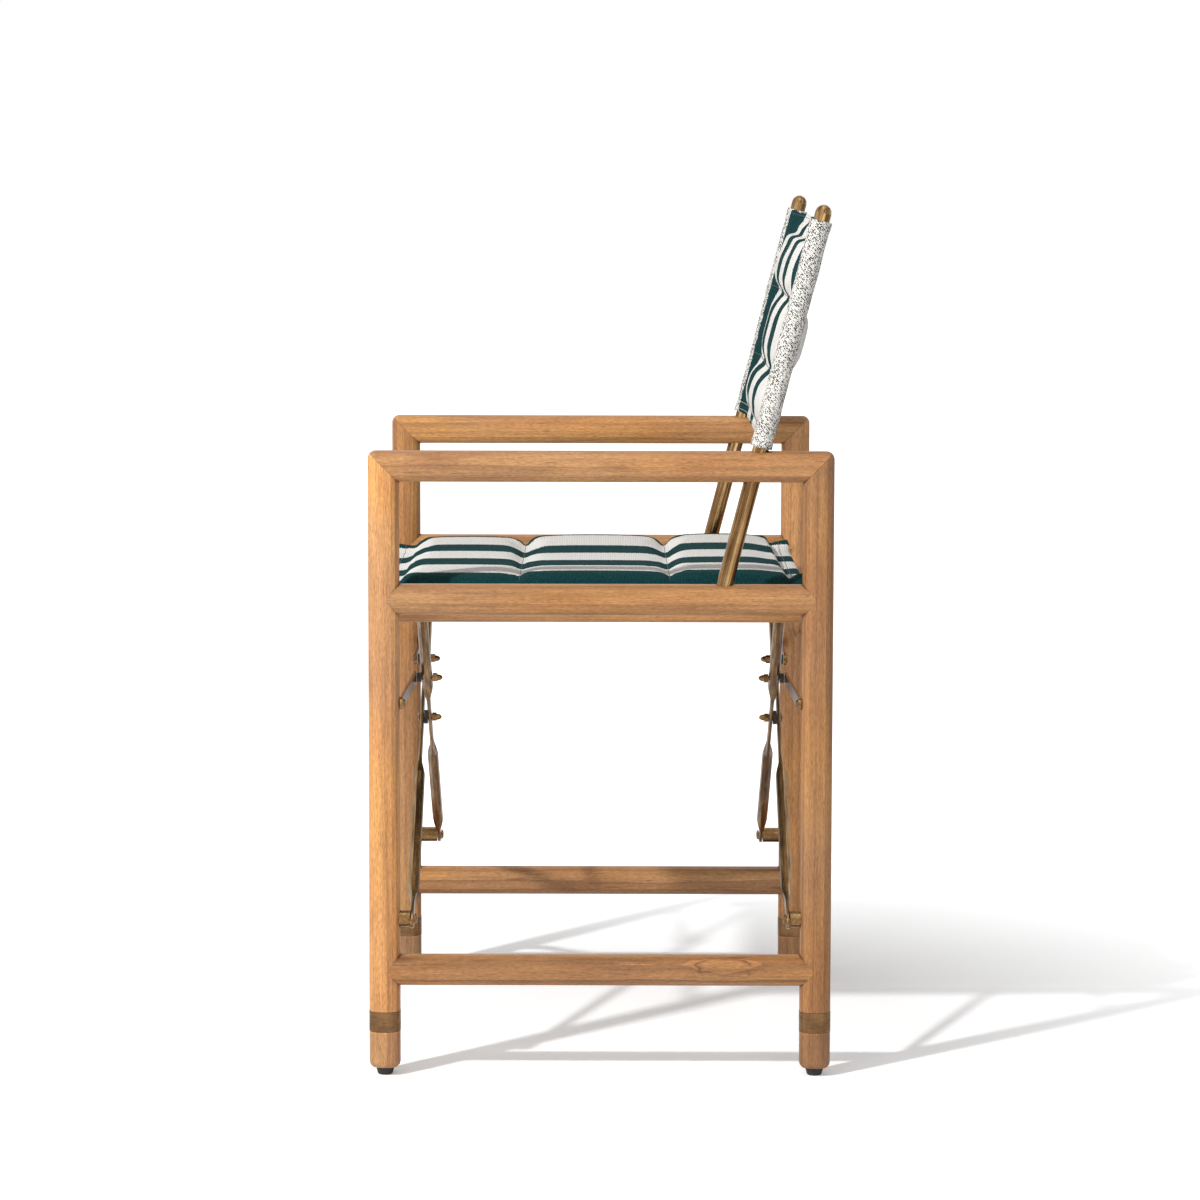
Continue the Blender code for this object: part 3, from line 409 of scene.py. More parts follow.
def makeBand():
    made, tree, shader = startMaterial("bronzeBand")
    place = addNode(tree, "TexCoord").outputs["Object"]
    drawn = addMapping(tree, place, (0.25, 0.25, 4.0))
    brushed = addNoise(tree, drawn, 300.0, 3.0, 0.6, "brushed round the leg")
    cloud = addNoise(tree, place, 70.0, 3.0, 0.55, "tarnish")
    total = addSum(tree, brushed, 0.45, cloud, 0.55)
    colour = addRamp(tree, total, [(0.40, band["dark"]), (0.62, band["rubbed"])], "bronze")
    gloss = addRamp(tree, total, greys((0.40, 0.5), (0.62, 0.3)), "gloss")
    relief = addBump(tree, brushed, 0.15, 0.0003)
    feed(tree, shader, Base_Color=colour, Roughness=gloss, Normal=relief, Metallic=1.0)
    return made


# black rubber glides and black nylon washers
def makeBlack(name, colour, roughness, graininess):
    made, tree, shader = startMaterial(name)
    place = addNode(tree, "TexCoord").outputs["Object"]
    grain = addNoise(tree, place, graininess, 3.0, 0.6, "moulded grain")
    scuff = addNoise(tree, place, 160.0, 2.0, 0.5, "scuffs")
    tone = addRamp(tree, scuff, [(0.35, colour), (0.75, tuple(2.2 * c for c in colour))], "scuffed tone")
    gloss = addRamp(tree, grain, greys((0.3, roughness - 0.1), (0.7, roughness + 0.1)), "gloss")
    feed(tree, shader, Base_Color=tone, Roughness=gloss, Normal=addBump(tree, grain, 0.25, 0.0003))
    return made


# striped cloth: one broad and two narrow green stripes on cream, green again at both edges
stripes = {
    "green": (0.0032, 0.0255, 0.0275),
    "greenLit": (0.0120, 0.0690, 0.0710),
    "cream": (0.89, 0.868, 0.828),
    "creamShade": (0.70, 0.68, 0.65),
    "edges": (-0.190, -0.108, -0.037, 0.040, 0.108, 0.190),    # metres across, green outside the first
    "span": 0.6,            # metres that the ramp of the stripes covers
    "yarn": 0.0019,         # pitch of the weft, in metres
    "warp": 0.8,            # pitch of the warp, as a share of it
    "stagger": 0.0007,      # metres that the stripes' edges step from yarn to yarn
    "ragged": 0.0070,       # and that they stray at random
}


def makeStripedCloth():
    made, tree, shader = startMaterial("stripedCloth")
    place = addNode(tree, "UVMap", uv_map="cloth").outputs[0]
    split = addNode(tree, "SeparateXYZ")
    tree.links.new(place, split.inputs[0])

    def ripple(distance, pitch):
        return addMath(tree, "SINE", addMath(tree, "MULTIPLY", distance, 2 * math.pi / pitch))

    across = split.outputs["X"]
    yarns = ripple(split.outputs["Y"], stripes["yarn"])
    threads = ripple(across, stripes["yarn"] * stripes["warp"])
    stray = addNoise(tree, addMapping(tree, place, (1, 1.7, 1)), 240.0, 2.0, 0.6, "uneven yarn")
    shift = addSum(tree, yarns, stripes["stagger"], stray, stripes["ragged"])
    moved = addMath(tree, "ADD", across, addMath(tree, "SUBTRACT", shift, stripes["ragged"] / 2))
    share = addMath(tree, "ADD", addMath(tree, "DIVIDE", moved, stripes["span"]), 0.5)
    marks = [(edge / stripes["span"] + 0.5, i % 2) for i, edge in enumerate(stripes["edges"])]
    greenShare = addRamp(tree, share, greys((0.0, 1.0), *marks), "stripes", steps=True)
    wool = addNoise(tree, addMapping(tree, place, (1, 2.2, 1)), 420.0, 3.0, 0.65, "yarn tone")
    green = addRamp(tree, wool, [(0.36, stripes["green"]), (0.70, stripes["greenLit"])], "green yarn")
    cream = addRamp(tree, wool, [(0.28, stripes["creamShade"]), (0.60, stripes["cream"])], "cream yarn")
    colour = addMix(tree, greenShare, cream, green, "striped")
    # painted shade: the colour darkens in the dips between the yarns, where shade falls
    dips = addSum(tree, yarns, 0.5, threads, 0.25)
    crests = addMath(tree, "ADD", addMath(tree, "MULTIPLY", dips, 0.5), 0.5)
    woven = addTone(tree, colour, crests, greys((0.0, 0.84), (0.6, 1.0)), "painted shade between yarns")
    relief = addMath(tree, "ADD", addMath(tree, "MULTIPLY", dips, 0.6), wool)
    feed(tree, shader, Base_Color=woven, Roughness=0.92, Normal=addBump(tree, relief, 0.6, 0.0010))
    feed(tree, shader, Specular_IOR_Level=0.05, Sheen_Weight=0.015, Sheen_Roughness=0.6)
    return made


# flecked cloth of the sleeves: thick cream and grey-black yarn in short slanting flecks
fleck = {"cream": (0.85, 0.825, 0.772), "dark": (0.022, 0.022, 0.021), "middle": (0.30, 0.29, 0.265)}


def makeFleckedCloth():
    made, tree, shader = startMaterial("fleckedCloth")
    place = addNode(tree, "UVMap", uv_map="cloth").outputs[0]
    slanted = addMapping(tree, place, turn=(0, 0, math.radians(38)), label="slant of the twill")
    slanted = addMapping(tree, slanted, (640, 400, 1), label="short yarns")
    cells = addNode(tree, "TexVoronoi", "yarns", voronoi_dimensions="2D")
    feed(tree, cells, Vector=slanted, Scale=1.0, Randomness=0.5)
    pick = addNode(tree, "SeparateXYZ")
    tree.links.new(cells.outputs["Color"], pick.inputs[0])
    # a dark fleck sits in nearly every yarn, some large, some small
    sizeStops = greys((0.0, 0.12), (0.5, 0.30), (1.0, 0.46))
    size = addRamp(tree, pick.outputs["X"], sizeStops, "fleck size")
    within = addMath(tree, "SUBTRACT", cells.outputs["Distance"], size, "outside the fleck")
    yarnShades = [(0.0, fleck["dark"]), (0.03, fleck["middle"]), (0.07, fleck["cream"])]
    colour = addRamp(tree, within, yarnShades, "yarn colour")
    # painted shade: each yarn darkens towards its edges, where the yarns meet and shade falls
    crown = addMath(tree, "SUBTRACT", 1.0, cells.outputs["Distance"])
    woven = addTone(tree, colour, crown, greys((0.25, 0.72), (0.60, 1.0)), "painted shade between yarns")
    feed(tree, shader, Base_Color=woven, Roughness=0.94, Normal=addBump(tree, crown, 0.7, 0.0010))
    feed(tree, shader, Specular_IOR_Level=0.15, Sheen_Weight=0.08)
    return made


def makeThread(name, colour):
    made, tree, shader = startMaterial(name)
    place = addNode(tree, "TexCoord").outputs["Object"]
    twist = addNoise(tree, place, 1400.0, 2.0, 0.5, "twist of the thread")
    tone = addRamp(tree, twist, [(0.35, tuple(0.7 * c for c in colour)), (0.65, colour)], "thread tone")
    feed(tree, shader, Base_Color=tone, Roughness=0.7, Normal=addBump(tree, twist, 0.3, 0.0003))
    return made


# every hard node gets its finish, and each wooden member a brightness of its own: partly the wood's own
# colour, partly painted light and shade
woodToneAndShade = {
    "left_front_leg": 0.87,
    "left_rear_leg": 0.57,
    "right_front_leg": 0.65,
    "right_rear_leg": 0.88,
    "left_armrest": 0.69,
    "right_armrest": 0.75,
    "left_side_rail": 0.63,
    "right_side_rail": 0.72,
    "left_stretcher": 0.61,
    "right_stretcher": 0.68,
    "left_seat_rail": 0.75,
    "right_seat_rail": 0.75,
}
# and two members a knot, at this place
knots = {"left_stretcher": (0.290, 0.128, 0.115), "right_rear_leg": (-0.262, 0.226, 0.42)}


def dressHardNodes():
    seed = 1.0
    posts = makeBrass("brassPosts", (math.radians(-postLean), 0, 0), (1, 1, 40), 3.0)
    slant = math.radians(barSlant)
    barsLeft = makeBrass("brassBarsLeft", (0, slant, 0), (12, 1, 1), 7.0, reflectionAndTarnishContrast=0.75)
    barsRight = makeBrass("brassBarsRight", (0, -slant, 0), (12, 1, 1), 8.0, reflectionAndTarnishContrast=0.75)
    fittings = makeBrass("brassFittings", seed=11.0, reflectionAndTarnishContrast=0.35)
    finishes = {
        "glide": makeBlack("blackRubber", (0.012, 0.012, 0.012), 0.62, 900.0),
        "washer": makeBlack("blackNylon", (0.010, 0.010, 0.011), 0.42, 1500.0),
        "band": makeBand(),
        "post": posts,
        "cap": posts,
        "left": barsLeft,       # the bars that start at the left
        "right": barsRight,
    }
    for name in sorted(nodes):
        seed += 1.37
        kind = name.split("_")[-1]
        if name in woodToneAndShade:
            along = 2 if kind == "leg" else 1
            lines, marks = (1.2, 0.85) if kind == "stretcher" else (0.8, 0.35)
            finish = makeTeak("teak_" + name, along, seed, woodToneAndShade[name], lines, marks, knots.get(name))
        else:
            finish = finishes.get(kind, fittings)
        if kind not in ("pad", "sleeve"):
            for slot in nodes[name].material_slots:
                slot.material = finish


dressHardNodes()
stripedCloth = makeStripedCloth()
fleckedCloth = makeFleckedCloth()
paleThread = makeThread("paleThread", (0.62, 0.60, 0.54))
dullThread = makeThread("dullThread", (0.13, 0.15, 0.145))
print("materials made")


# sewing: shared by the seat, the back and the sleeves

def toObject(made, name, material):
    mesh = bpy.data.meshes.new(name)
    made.to_mesh(mesh)
    made.free()
    piece = bpy.data.objects.new(name, mesh)
    bpy.context.collection.objects.link(piece)
    piece.data.materials.append(material)
    return piece


def spread(edges, step):
    # even places between the edges, about one step apart, with every edge kept as a place of its own
    places = [edges[0]]
    for start, end in zip(edges, edges[1:]):
        count = max(2, round((end - start) / step))
        for k in range(1, count + 1):
            places.append(start + (end - start) * k / count)
    return places


def mirrored(half):
    return [-a for a in reversed(half[1:])] + half


# metres over which a puff rises from seams and hems, how much of it rises there, and its dome's two powers
puff = {
    "pinch": 0.0050,
    "endPinch": (0.0036, 0.0020),
    "steep": 0.64,
    "endSteep": (0.70, 0.96),
    "dome": (2.4, 0.6),
}


def puffFullness(place, edges):
    # 0 on a seam, 1 in the middle of a puff; also the number of the puff
    for i, (start, end) in enumerate(zip(edges, edges[1:])):
        if start <= place <= end:
            share = (place - start) / (end - start)
            dome = (1 - abs(2 * share - 1) ** puff["dome"][0]) ** puff["dome"][1]
            late = share > 0.5
            atHem = i == (len(edges) - 2 if late else 0)
            fromSeam = end - place if late else place - start
            rise = 1 - math.exp(-fromSeam / (puff["endPinch"][late] if atHem else puff["pinch"]))
            steep = puff["endSteep"][late] if atHem else puff["steep"]
            steep += (puff["steep"] - steep) * (1 - abs(2 * share - 1))
            return steep * rise + (1 - steep) * dome, i
    return 0.0, -1


def smooth(value, low, high):
    share = min(1.0, max(0.0, (value - low) / (high - low)))
    return share * share * (3 - 2 * share)


def sewQuilt(name, across, along, upperPoint, lowerPoint, slope=1.0):
    # a closed bag of two layers that meet in a rounded rim, with the flat cloth's place in its UV map;
    # slope is how much of along goes to a metre of cloth
    bag = bmesh.new()
    upper = [[bag.verts.new(upperPoint(a, b)) for b in along] for a in across]
    lower = [[bag.verts.new(lowerPoint(a, b)) for b in along] for a in across]
    flat = {}
    for i, a in enumerate(across):
        for j, b in enumerate(along):
            flat[upper[i][j]] = flat[lower[i][j]] = (a, b / slope)
    last = len(across) - 1
    end = len(along) - 1
    for i in range(last):
        for j in range(end):
            bag.faces.new((upper[i][j], upper[i + 1][j], upper[i + 1][j + 1], upper[i][j + 1]))
            bag.faces.new((lower[i][j], lower[i][j + 1], lower[i + 1][j + 1], lower[i + 1][j]))
    ring = [(i, 0) for i in range(last)] + [(last, j) for j in range(end)]
    ring += [(i, end) for i in range(last, 0, -1)] + [(0, j) for j in range(end, 0, -1)]
    for (i, j), (k, m) in zip(ring, ring[1:] + ring[:1]):
        bag.faces.new((upper[i][j], lower[i][j], lower[k][m], upper[k][m]))
    bmesh.ops.recalc_face_normals(bag, faces=bag.faces)
    layer = bag.loops.layers.uv.new("cloth")
    for face in bag.faces:
        for loop in face.loops:
            loop[layer].uv = flat[loop.vert]
    return toObject(bag, name, stripedCloth)


def pickOnly(piece):
    bpy.ops.object.select_all(action="DESELECT")
    piece.select_set(True)
    bpy.context.view_layer.objects.active = piece


def inflate(piece, heldDown, pressure, spare, caps):
    # blows the bag up like stuffing: heldDown points stay, spare cloth lets it crumple along the seams,
    # and no point moves further than its cap
    pickOnly(piece)
    group = piece.vertex_groups.new(name="sewnDown")
    group.add(heldDown, 1.0, "REPLACE")
    start = [v.co.copy() for v in piece.data.vertices]
    steps = 20
    cloth = piece.modifiers.new("stuffing", "CLOTH")
    feel = cloth.settings
    feel.quality = 6
    feel.mass = 0.3
    feel.tension_stiffness = 12
    feel.compression_stiffness = 12
    feel.shear_stiffness = 4
    feel.bending_stiffness = 0.25
    feel.air_damping = 3
    feel.vertex_group_mass = group.name
    feel.use_pressure = True
    feel.uniform_pressure_force = pressure
    feel.shrink_min = -spare
    feel.shrink_max = -spare
    feel.effector_weights.gravity = 0
    cloth.collision_settings.use_self_collision = False
    cloth.collision_settings.use_collision = False
    cloth.point_cache.frame_start = 1
    cloth.point_cache.frame_end = steps
    scene = bpy.context.scene
    for step in range(1, steps + 1):
        scene.frame_set(step)
    stuffed = piece.evaluated_get(bpy.context.evaluated_depsgraph_get())
    moved = [v.co.copy() for v in stuffed.to_mesh().vertices]
    stuffed.to_mesh_clear()
    piece.modifiers.remove(cloth)
    scene.frame_set(1)
    for vertex, before, after, cap in zip(piece.data.vertices, start, moved, caps):
        move = after - before
        if move.length > cap:
            move = move * (cap / move.length)
        vertex.co = before + move


def smoothOut(piece):
    pickOnly(piece)
    piece.vertex_groups.clear()
    finer = piece.modifiers.new("finer", "SUBSURF")
    finer.levels = 1
    finer.render_levels = 1
    bpy.ops.object.modifier_apply(modifier="finer")
    bpy.ops.object.shade_smooth()


def nearHems(edges):
    # places of extra points just inside both hems, where the puffs start steeply
    return edges[0] + 0.004, edges[0] + 0.009, edges[3] - 0.009, edges[3] - 0.004


def stuff(piece, look, across, along, edges, firstHeld, secondHeld):
    # fills the bag between its seams; firstHeld and secondHeld are where its layers are held at the sides
    count = len(across) * len(along)
    held = []
    for i, a in enumerate(across):
        for j, b in enumerate(along):
            k = i * len(along) + j
            sewn = any(abs(b - place) < 0.0001 for place in edges) or b < edges[0] or b > edges[-1]
            if sewn or abs(a) > firstHeld:
                held.append(k)
            if sewn or abs(a) > secondHeld:
                held.append(k + count)
    calm = look["calmBeforeHem"]
    caps = [look["cap"] * smooth(edges[3] - b, 0.004, calm) for a in across for b in along] * 2
    inflate(piece, held, look["pressure"], look["spareCloth"], caps)
    smoothOut(piece)


def gather(piece, seams, depth, reach, pitch):
    # small folds that run square to each seam and fade away from it; seams are places along the cloth
    mesh = piece.data
    layer = mesh.uv_layers["cloth"].data
    place = {loop.vertex_index: layer[loop.index].uv.copy() for loop in mesh.loops}
    normals = [v.normal.copy() for v in mesh.vertices]
    for vertex, normal in zip(mesh.vertices, normals):
        across, along = place[vertex.index]
        push = 0.0
        for k, seam in enumerate(seams):
            away = abs(along - seam)
            if away > 3 * reach:
                continue
            side = 1 if along > seam else -1
            fold = noise.noise((across / pitch, 7.3 * k + 2.1 * side, 0.35 * away / reach))
            push += fold * (away / reach) * math.exp(1 - away / reach) * depth
        vertex.co += normal * push
    mesh.update()


stitch = {
    "length": 0.0032,
    "gap": 0.0010,
    "thick": 0.00062,
    "sides": 6,
    "least": 0.001,         # a shorter one, where the cloth turns away, is left out
    # its rounded shape: (share of its length, share of its thickness, rise in half thicknesses)
    "profile": ((0.0, 0.35, -0.4), (0.22, 1.0, 0.75), (0.78, 1.0, 0.75), (1.0, 0.35, -0.4)),
}


def sewStitches(name, rows, finish, tree, toward):
    # rows of short rounded stitches; each row is a list of points that is laid on the cloth along toward
    thread = bmesh.new()
    look = toward.normalized()
    before = look * 0.06        # the rays start this far before the rows
    for row in rows:
        done = 0.0
        for start, end in zip(row, row[1:]):
            run = (end - start).length
            while done < run:
                a = start.lerp(end, min(1.0, done / run))
                b = start.lerp(end, min(1.0, (done + stitch["length"]) / run))
                hitA, upA = tree.ray_cast(a - before, look)[:2]
                hitB, upB = tree.ray_cast(b - before, look)[:2]
                done += stitch["length"] + stitch["gap"]
                if hitA is None or hitB is None or (hitB - hitA).length < stitch["least"]:
                    continue
                layStitch(thread, hitA, hitB, (upA + upB).normalized())
            done -= run
    piece = toObject(thread, name, finish)
    for face in piece.data.polygons:
        face.use_smooth = True
    return piece


def layStitch(thread, start, end, up):
    ahead = (end - start).normalized()
    side = ahead.cross(up).normalized()
    half = stitch["thick"] / 2
    sides = stitch["sides"]
    rings = []
    for share, size, rise in stitch["profile"]:
        centre = start.lerp(end, share) + up * (half * rise)
        ring = []
        for k in range(sides):
            angle = math.tau * k / sides
            outward = side * math.cos(angle) + up * math.sin(angle)
            ring.append(thread.verts.new(centre + outward * (half * size)))
        rings.append(ring)
    for here, there in zip(rings, rings[1:]):
        for k in range(sides):
            m = (k + 1) % sides
            thread.faces.new((here[k], here[m], there[m], there[k]))
    thread.faces.new(rings[0][::-1])
    thread.faces.new(rings[-1])


# seat cushion: a sling over both seat rails, three puffs sewn across, a flat hem at front and rear
seat = {
    "hemLength": 0.018,
    "hemThick": 0.005,
    "seamFromFront": 0.1435,
    "seamFromRear": 0.1375,
    "crowns": (0.0125, 0.0108, 0.0150),      # how high each puff stands over the hem, front to rear
    "riseAtRails": (0.0003, 0.0045, 0.0016),
    "seamRise": 0.0050,
    "seamLean": 0.0042,     # the seams lie higher at the left rail than at the right one
    "hemRise": (-0.0010, 0.0024),       # front and rear hem, between the rails
    "hemLip": (0.0086, 0.0116),     # and what their ends over the rails stand up more
    "hemProud": (0.003, 0.0045),    # how far they reach past the pad's ends
    "hemTilt": 0.0022,      # the hems lie higher at the left rail
    "lipFrom": 0.174,       # metres from the middle where the hems start to stand up over the rails
    "hemStitch": 0.0075,    # metres from the hem's end to its row of stitches
    "hemShoulder": 0.009,   # metres over which the puffs' ground rises from the hems
    "railsFrom": (0.07, 0.185),     # metres from the middle over which riseAtRails comes in
    "rearSkew": 0.0025,
    "belly": 0.007,
    "wrapTo": 20.0,         # degrees up from level, where the cloth's side edge lies on the rail
    "clearOfRail": 0.0004,
    "cell": 0.0055,
    "startLow": 0.0018,     # the puffs start this much too flat, and the stuffing fills them
    "pressure": 4.0,
    "spareCloth": 0.025,
    "cap": 0.0024,          # the stuffing moves no point further, and less near the rear hem
    "calmBeforeHem": 0.035,
    "heldUnder": 0.165,     # metres from the middle from which the lower layer is held by the rails
    "stitchesFrom": 0.53,   # height from which the stitches are laid down on the cloth
}


def makeSeat():
    low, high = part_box("left_seat_rail")
    railX = (low.x + high.x) / 2
    railZ = (low.z + high.z) / 2
    railRadius = (high.z - low.z) / 2
    padLow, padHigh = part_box("seat_pad")
    front = padLow.y
    rear = padHigh.y
    seams = (front + seat["seamFromFront"], rear - seat["seamFromRear"])
    edges = (front + seat["hemLength"], *seams, rear - seat["hemLength"])
    under = railRadius + seat["clearOfRail"]
    over = under + seat["hemThick"]
    wrap = math.radians(90.0 - seat["wrapTo"])
    reach = railX + under * wrap        # half the cloth's width, measured along it

    def onArc(across):
        # (x of the arc's centre, sine, cosine, share of the wrap): the cloth is flat up to the rail's top
        side = 1 if across > 0 else -1
        past = (abs(across) - railX) / under
        if past <= 0:
            return across, 1.0, 0.0, 0.0
        return side * railX, math.cos(past), side * math.sin(past), past / wrap

    def atHem(across, along):
        # how much the hem's cloth stands up: it lies loose, and curls up where it passes over the rails
        end = 0 if along < 0 else 1
        inward = along - front if end == 0 else rear - along
        share = 1 - smooth(inward, seat["hemLength"] - 0.003, seat["hemLength"] + 0.004)
        lip = smooth(abs(across), seat["lipFrom"], railX) * (0.72 + 0.28 * smooth(-inward, -0.012, 0.0))
        rise = seat["hemRise"][end] + seat["hemTilt"] * across / railX
        return share * (rise + seat["hemLip"][end] * lip)

    def standing(across, along):
        fullness, number = puffFullness(along, edges)
        atRail = smooth(min(abs(across), railX), *seat["railsFrom"])
        if number < 0:
            return atHem(across, along)
        ramp = 1.0
        if number == 0:
            ramp = smooth(along, edges[0], edges[0] + seat["hemShoulder"])
        elif number == 2:
            ramp = smooth(-along, -edges[3], -edges[3] + seat["hemShoulder"])
        base = (seat["seamRise"] + seat["seamLean"] * across / railX) * ramp
        top = seat["crowns"][number] + seat["riseAtRails"][number] * atRail
        return max(base, atHem(across, along)) + max(0.0, top - base - seat["startLow"]) * fullness

    def lengthwise(across, along):
        # the hems reach a little past the pad's ends, and the rear seam runs slightly askew
        atRear = smooth(along, edges[3], rear)
        atFront = smooth(-along, -edges[0], -front)
        out = seat["hemProud"][1] * atRear - seat["hemProud"][0] * atFront
        askew = smooth(along, edges[2], edges[3]) * (1 - atRear)
        return along + out + askew * seat["rearSkew"] * (1 + across / railX)

    def upperPoint(across, along):
        x, sine, cosine, past = onArc(across)
        fade = 1.0 if past == 0 else math.cos(math.pi / 2 * past) ** 0.8
        stand = over + standing(across, along) * fade
        return Vector((x + stand * cosine, lengthwise(across, along), railZ + stand * sine))

    def lowerPoint(across, along):
        x, sine, cosine, past = onArc(across)
        fullness = puffFullness(along, edges)[0]
        sag = seat["belly"] * fullness * (1 - min(1.0, abs(across) / railX) ** 2)
        stand = under + 0.8 * max(0.0, atHem(across, along)) * (1 - past)
        return Vector((x + stand * cosine, lengthwise(across, along), railZ + stand * sine - sag))

    def rowsAt(places):
        # rows of stitches run from rail to rail
        end = Vector((railX + 0.008, 0.0, 0.0))
        starts = [Vector((0.0, place, seat["stitchesFrom"])) for place in places]
        return [[start - end, start + end] for start in starts]

    across = mirrored(spread((0.0, seat["heldUnder"], railX, reach), seat["cell"]))
    along = spread(sorted((front, *edges, *nearHems(edges), rear)), seat["cell"])
    cushion = sewQuilt("seatCushion", across, along, upperPoint, lowerPoint)
    stuff(cushion, seat, across, along, edges, reach - 0.004, seat["heldUnder"] - 0.001)
    gather(cushion, edges, depth=0.0011, reach=0.008, pitch=0.011)
    gather(cushion, edges[3:], depth=0.0016, reach=0.005, pitch=0.017)
    tree = BVHTree.FromObject(cushion, bpy.context.evaluated_depsgraph_get())
    down = Vector((0, 0, -1))
    hemRows = rowsAt((front + seat["hemStitch"], rear - seat["hemStitch"]))
    hemStitches = sewStitches("seatHemStitches", hemRows, dullThread, tree, down)
    seamStitches = sewStitches("seatSeamStitches", rowsAt(seams), dullThread, tree, down)
    for piece in (cushion, hemStitches, seamStitches):
        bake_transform(piece)
    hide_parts("seat_pad")
    print("seat cushion sewn:", len(cushion.data.polygons), "faces")


makeSeat()


# back cushion: three puffs one above the other between the sleeves, fuller towards the rear
back = {
    "topSpare": 0.0035,     # the cloth reaches this much above the pad's own solid
    "hemLength": 0.013,
    "topHem": 0.024,
    "seamLow": 0.7235,
    "seamHigh": 0.800,
    "front": (0.0112, 0.0092, 0.0125),     # how far each puff stands before the post plane, low to high
    "rear": (0.0170, 0.0240, 0.0170),
    "frontFade": ((0.235, 4), (0.208, 3), (0.262, 6)),      # where each puff has thinned out, and how late
    "rearFade": ((0.240, 4), (0.240, 4), (0.240, 4)),
    "frontSeam": -0.0002,
    "rearSeam": 0.0058,
    "frontHem": -0.0004,
    "rearHem": 0.0044,
    "topHemBow": (0.0012, 0.0060),      # the slack top bows to the rear from its seam on, and its hem more
    "crumple": (0.0050, 0.0030),    # and the hem is crumpled, across the cloth and along the posts
    "folds": (60, 110),     # how many crumple folds go to a metre across and up the hem
    "slivers": 75,          # and how many dips of its top edge
    "frontEdge": 0.0078,    # the panel's front runs onto the sleeve's front-inner side
    "rearEdge": 0.0010,
    "edgeFrom": 0.198,
    "cell": 0.0055,
    "startLow": 0.0025,
    "pressure": 4.0,
    "spareCloth": 0.025,
    "cap": 0.0032,
    "calmBeforeHem": 0.030,
    "hemStitch": 0.0045,
    "intoSleeve": 0.0022,   # metres that the panel's side edges reach into the sleeves
}


def postLine():
    # a point on the left post's axis, the axis, the way square to it towards the rear, the sleeve's radius
    # and the height of the cloth's top, all from the sleeve's own box
    low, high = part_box("left_back_sleeve")
    lean = math.radians(postLean)
    half = (high.x - low.x) / 2
    bottom = Vector(((low.x + high.x) / 2, low.y + half * math.cos(lean), low.z + half * math.sin(lean)))
    axis = Vector((0.0, math.sin(lean), math.cos(lean)))
    topZ = high.z - half * math.sin(lean) + back["topSpare"]
    return bottom, axis, Vector((0.0, axis.z, -axis.y)), half, topZ


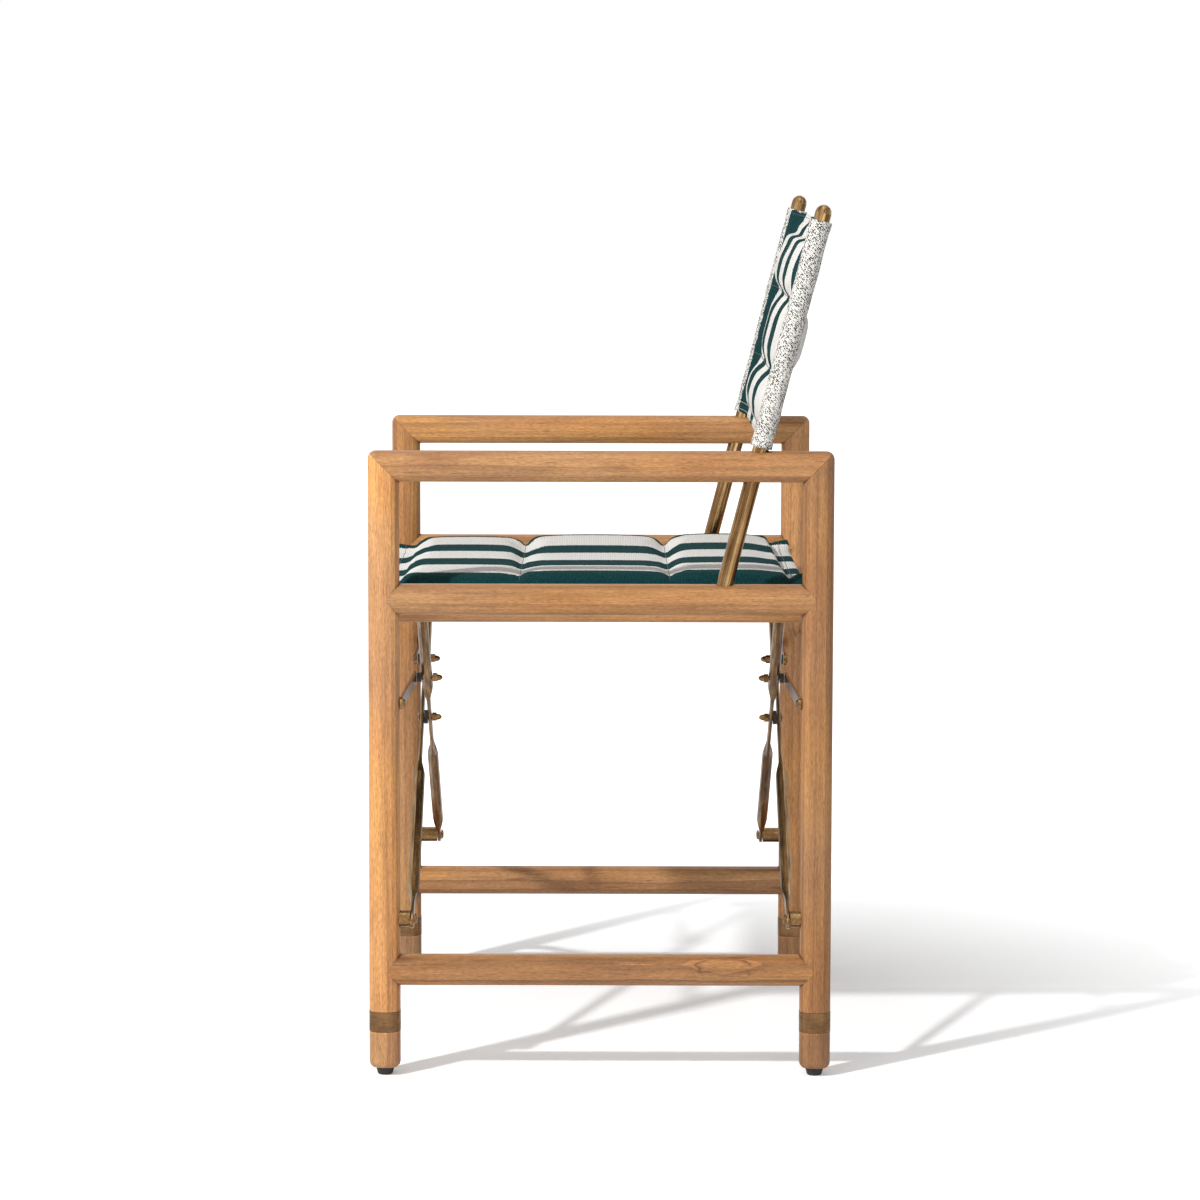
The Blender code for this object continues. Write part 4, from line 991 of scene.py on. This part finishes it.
def makeBack():
    bottom, axis, rearward, sleeveRadius, topZ = postLine()
    foot = bottom.z
    reach = bottom.x - sleeveRadius - 0.0003 + back["intoSleeve"]
    edges = (foot + back["hemLength"], back["seamLow"], back["seamHigh"], topZ - back["topHem"])

    def onPlane(across, height, offset):
        return Vector((across, bottom.y, foot)) + axis * ((height - foot) / axis.z) + rearward * offset

    def puffed(side, flat, across, fullness, number):
        # how far one side of a puff stands out, with its cloth at flat where it isn't filled
        fadeAt, power = back[side + "Fade"][number]
        thinned = max(0.0, 1 - (abs(across) / fadeAt) ** power)
        return flat + max(0.0, back[side][number] - flat - back["startLow"]) * fullness * thinned

    def offsets(across, height):
        # how far the cloth lies before and behind the post plane, in the flat parts and in the puffs
        fullness, number = puffFullness(height, edges)
        toSeam = smooth(height, edges[0], edges[0] + 0.02) * smooth(-height, -edges[3], -edges[3] + 0.012)
        front = back["frontHem"] + (back["frontSeam"] - back["frontHem"]) * toSeam
        rear = back["rearHem"] + (back["rearSeam"] - back["rearHem"]) * toSeam
        if number >= 0:
            front = puffed("front", front, across, fullness, number)
            rear = puffed("rear", rear, across, fullness, number)
        bow = back["topHemBow"][0] * smooth(height, edges[3] - 0.010, edges[3])
        bow += back["topHemBow"][1] * smooth(height, topZ - 0.017, topZ - 0.009)
        aside, up = back["folds"]
        fold = back["crumple"][0] * noise.noise((across * aside, 0.0, height * up))
        bow += fold * smooth(height, edges[3], topZ - 0.012)
        atEdge = smooth(abs(across), back["edgeFrom"], reach)
        front += (back["frontEdge"] - front) * atEdge - bow * (1 - atEdge)
        rear += (back["rearEdge"] - rear) * atEdge + bow * (1 - atEdge)
        return front, rear

    def crumpled(across, height):
        sink = back["crumple"][1] * (0.5 + noise.noise((across * back["slivers"], 4.0, 0.0)))
        sink *= smooth(height, topZ - 0.013, topZ)
        return height - sink * (1 - smooth(abs(across), back["edgeFrom"] + 0.03, reach))

    def frontPoint(across, height):
        return onPlane(across, crumpled(across, height), -offsets(across, height)[0])

    def rearPoint(across, height):
        return onPlane(across, crumpled(across, height), offsets(across, height)[1])

    def rowsAt(heights):
        # rows of stitches run from sleeve to sleeve
        ends = (-reach + 0.006, reach - 0.006)
        return [[onPlane(x, height, 0.0) for x in ends] for height in heights]

    across = mirrored(spread((0.0, back["edgeFrom"], reach), back["cell"]))
    heights = spread(sorted((foot, *edges, *nearHems(edges), topZ - 0.012, topZ)), back["cell"])
    cushion = sewQuilt("backCushion", across, heights, rearPoint, frontPoint, axis.z)
    stuff(cushion, back, across, heights, edges, reach - 0.006, reach - 0.006)
    gather(cushion, [place / axis.z for place in edges], depth=0.0012, reach=0.008, pitch=0.012)
    tree = BVHTree.FromObject(cushion, bpy.context.evaluated_depsgraph_get())
    hemRows = rowsAt((foot + back["hemStitch"], edges[0] - 0.001))
    frontHems = sewStitches("backFrontHemStitches", hemRows, paleThread, tree, rearward)
    rearHems = sewStitches("backRearHemStitches", hemRows, paleThread, tree, -rearward)
    seamRows = rowsAt((*edges[1:3], topZ - back["hemStitch"]))
    frontSeams = sewStitches("backFrontSeamStitches", seamRows, dullThread, tree, rearward)
    rearSeams = sewStitches("backRearSeamStitches", seamRows, dullThread, tree, -rearward)
    for piece in (cushion, frontHems, rearHems, frontSeams, rearSeams):
        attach(piece, "left_frame")
        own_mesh(piece)
    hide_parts("back_pad")
    print("back cushion sewn:", len(cushion.data.polygons), "faces")


makeBack()


# sleeves: flecked cloth round each post, with a turned hem at both ends
sleeve = {
    "sides": 40,
    "rows": 64,
    "wall": 0.0011,
    "inset": 0.35,          # share of the wall that the cloth's outside lies within the plain solid
    "hem": 0.009,
    "hemProud": 0.0005,
    "creases": 0.0006,      # how deep they are
    "creasePitch": (2.2, 46),       # how close they lie, round the post and along it
    "pull": 0.0008,         # the panel pulls the cloth flat on its side
}


def makeSleeve(word, side):
    bottom, axis, rearward, radius, topZ = postLine()
    bottom = Vector((side * bottom.x, bottom.y, bottom.z))
    length = (topZ - bottom.z) / axis.z
    outward = Vector((1.0, 0.0, 0.0))
    around, onward = sleeve["creasePitch"]
    tube = bmesh.new()
    flat = {}
    rings = []
    for j in range(sleeve["rows"] + 1):
        along = length * j / sleeve["rows"]
        ring = []
        for i in range(sleeve["sides"]):
            angle = math.tau * i / sleeve["sides"]
            toPanel = math.cos(angle) * side
            atEnd = min(along, length - along)
            proud = sleeve["hemProud"] * (1 - smooth(atEnd, sleeve["hem"], sleeve["hem"] + 0.002))
            where = (around * math.cos(angle) + 9 * side, around * math.sin(angle), along * onward)
            crease = noise.noise(where) * sleeve["creases"]
            pull = -sleeve["pull"] * smooth(-toPanel, 0.55, 1.0)
            out = radius - sleeve["wall"] * sleeve["inset"] - sleeve["hemProud"] + proud + crease + pull
            out = min(out, radius + 0.0006)
            point = bottom + axis * along + (outward * math.cos(angle) + rearward * math.sin(angle)) * out
            vertex = tube.verts.new(point)
            flat[vertex] = (angle * radius, along)
            ring.append(vertex)
        rings.append(ring)
    layer = tube.loops.layers.uv.new("cloth")
    for here, there in zip(rings, rings[1:]):
        for i in range(sleeve["sides"]):
            k = (i + 1) % sleeve["sides"]
            corners = (here[i], here[k], there[k], there[i])
            for loop, vertex in zip(tube.faces.new(corners).loops, corners):
                u, v = flat[vertex]
                if k == 0 and vertex in corners[1:3]:
                    u = math.tau * radius
                loop[layer].uv = (u, v)
    bmesh.ops.recalc_face_normals(tube, faces=tube.faces)
    piece = toObject(tube, word + "BackSleeve", fleckedCloth)
    pickOnly(piece)
    wall = piece.modifiers.new("wall", "SOLIDIFY")
    wall.thickness = sleeve["wall"]
    wall.offset = -1
    wall.use_even_offset = True
    bpy.ops.object.modifier_apply(modifier="wall")
    bpy.ops.object.shade_smooth()
    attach(piece, word + "_frame")
    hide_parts(word + "_back_sleeve")


for word, side in (("left", 1), ("right", -1)):
    makeSleeve(word, side)
print("sleeves sewn")

bpy.ops.object.select_all(action="DESELECT")
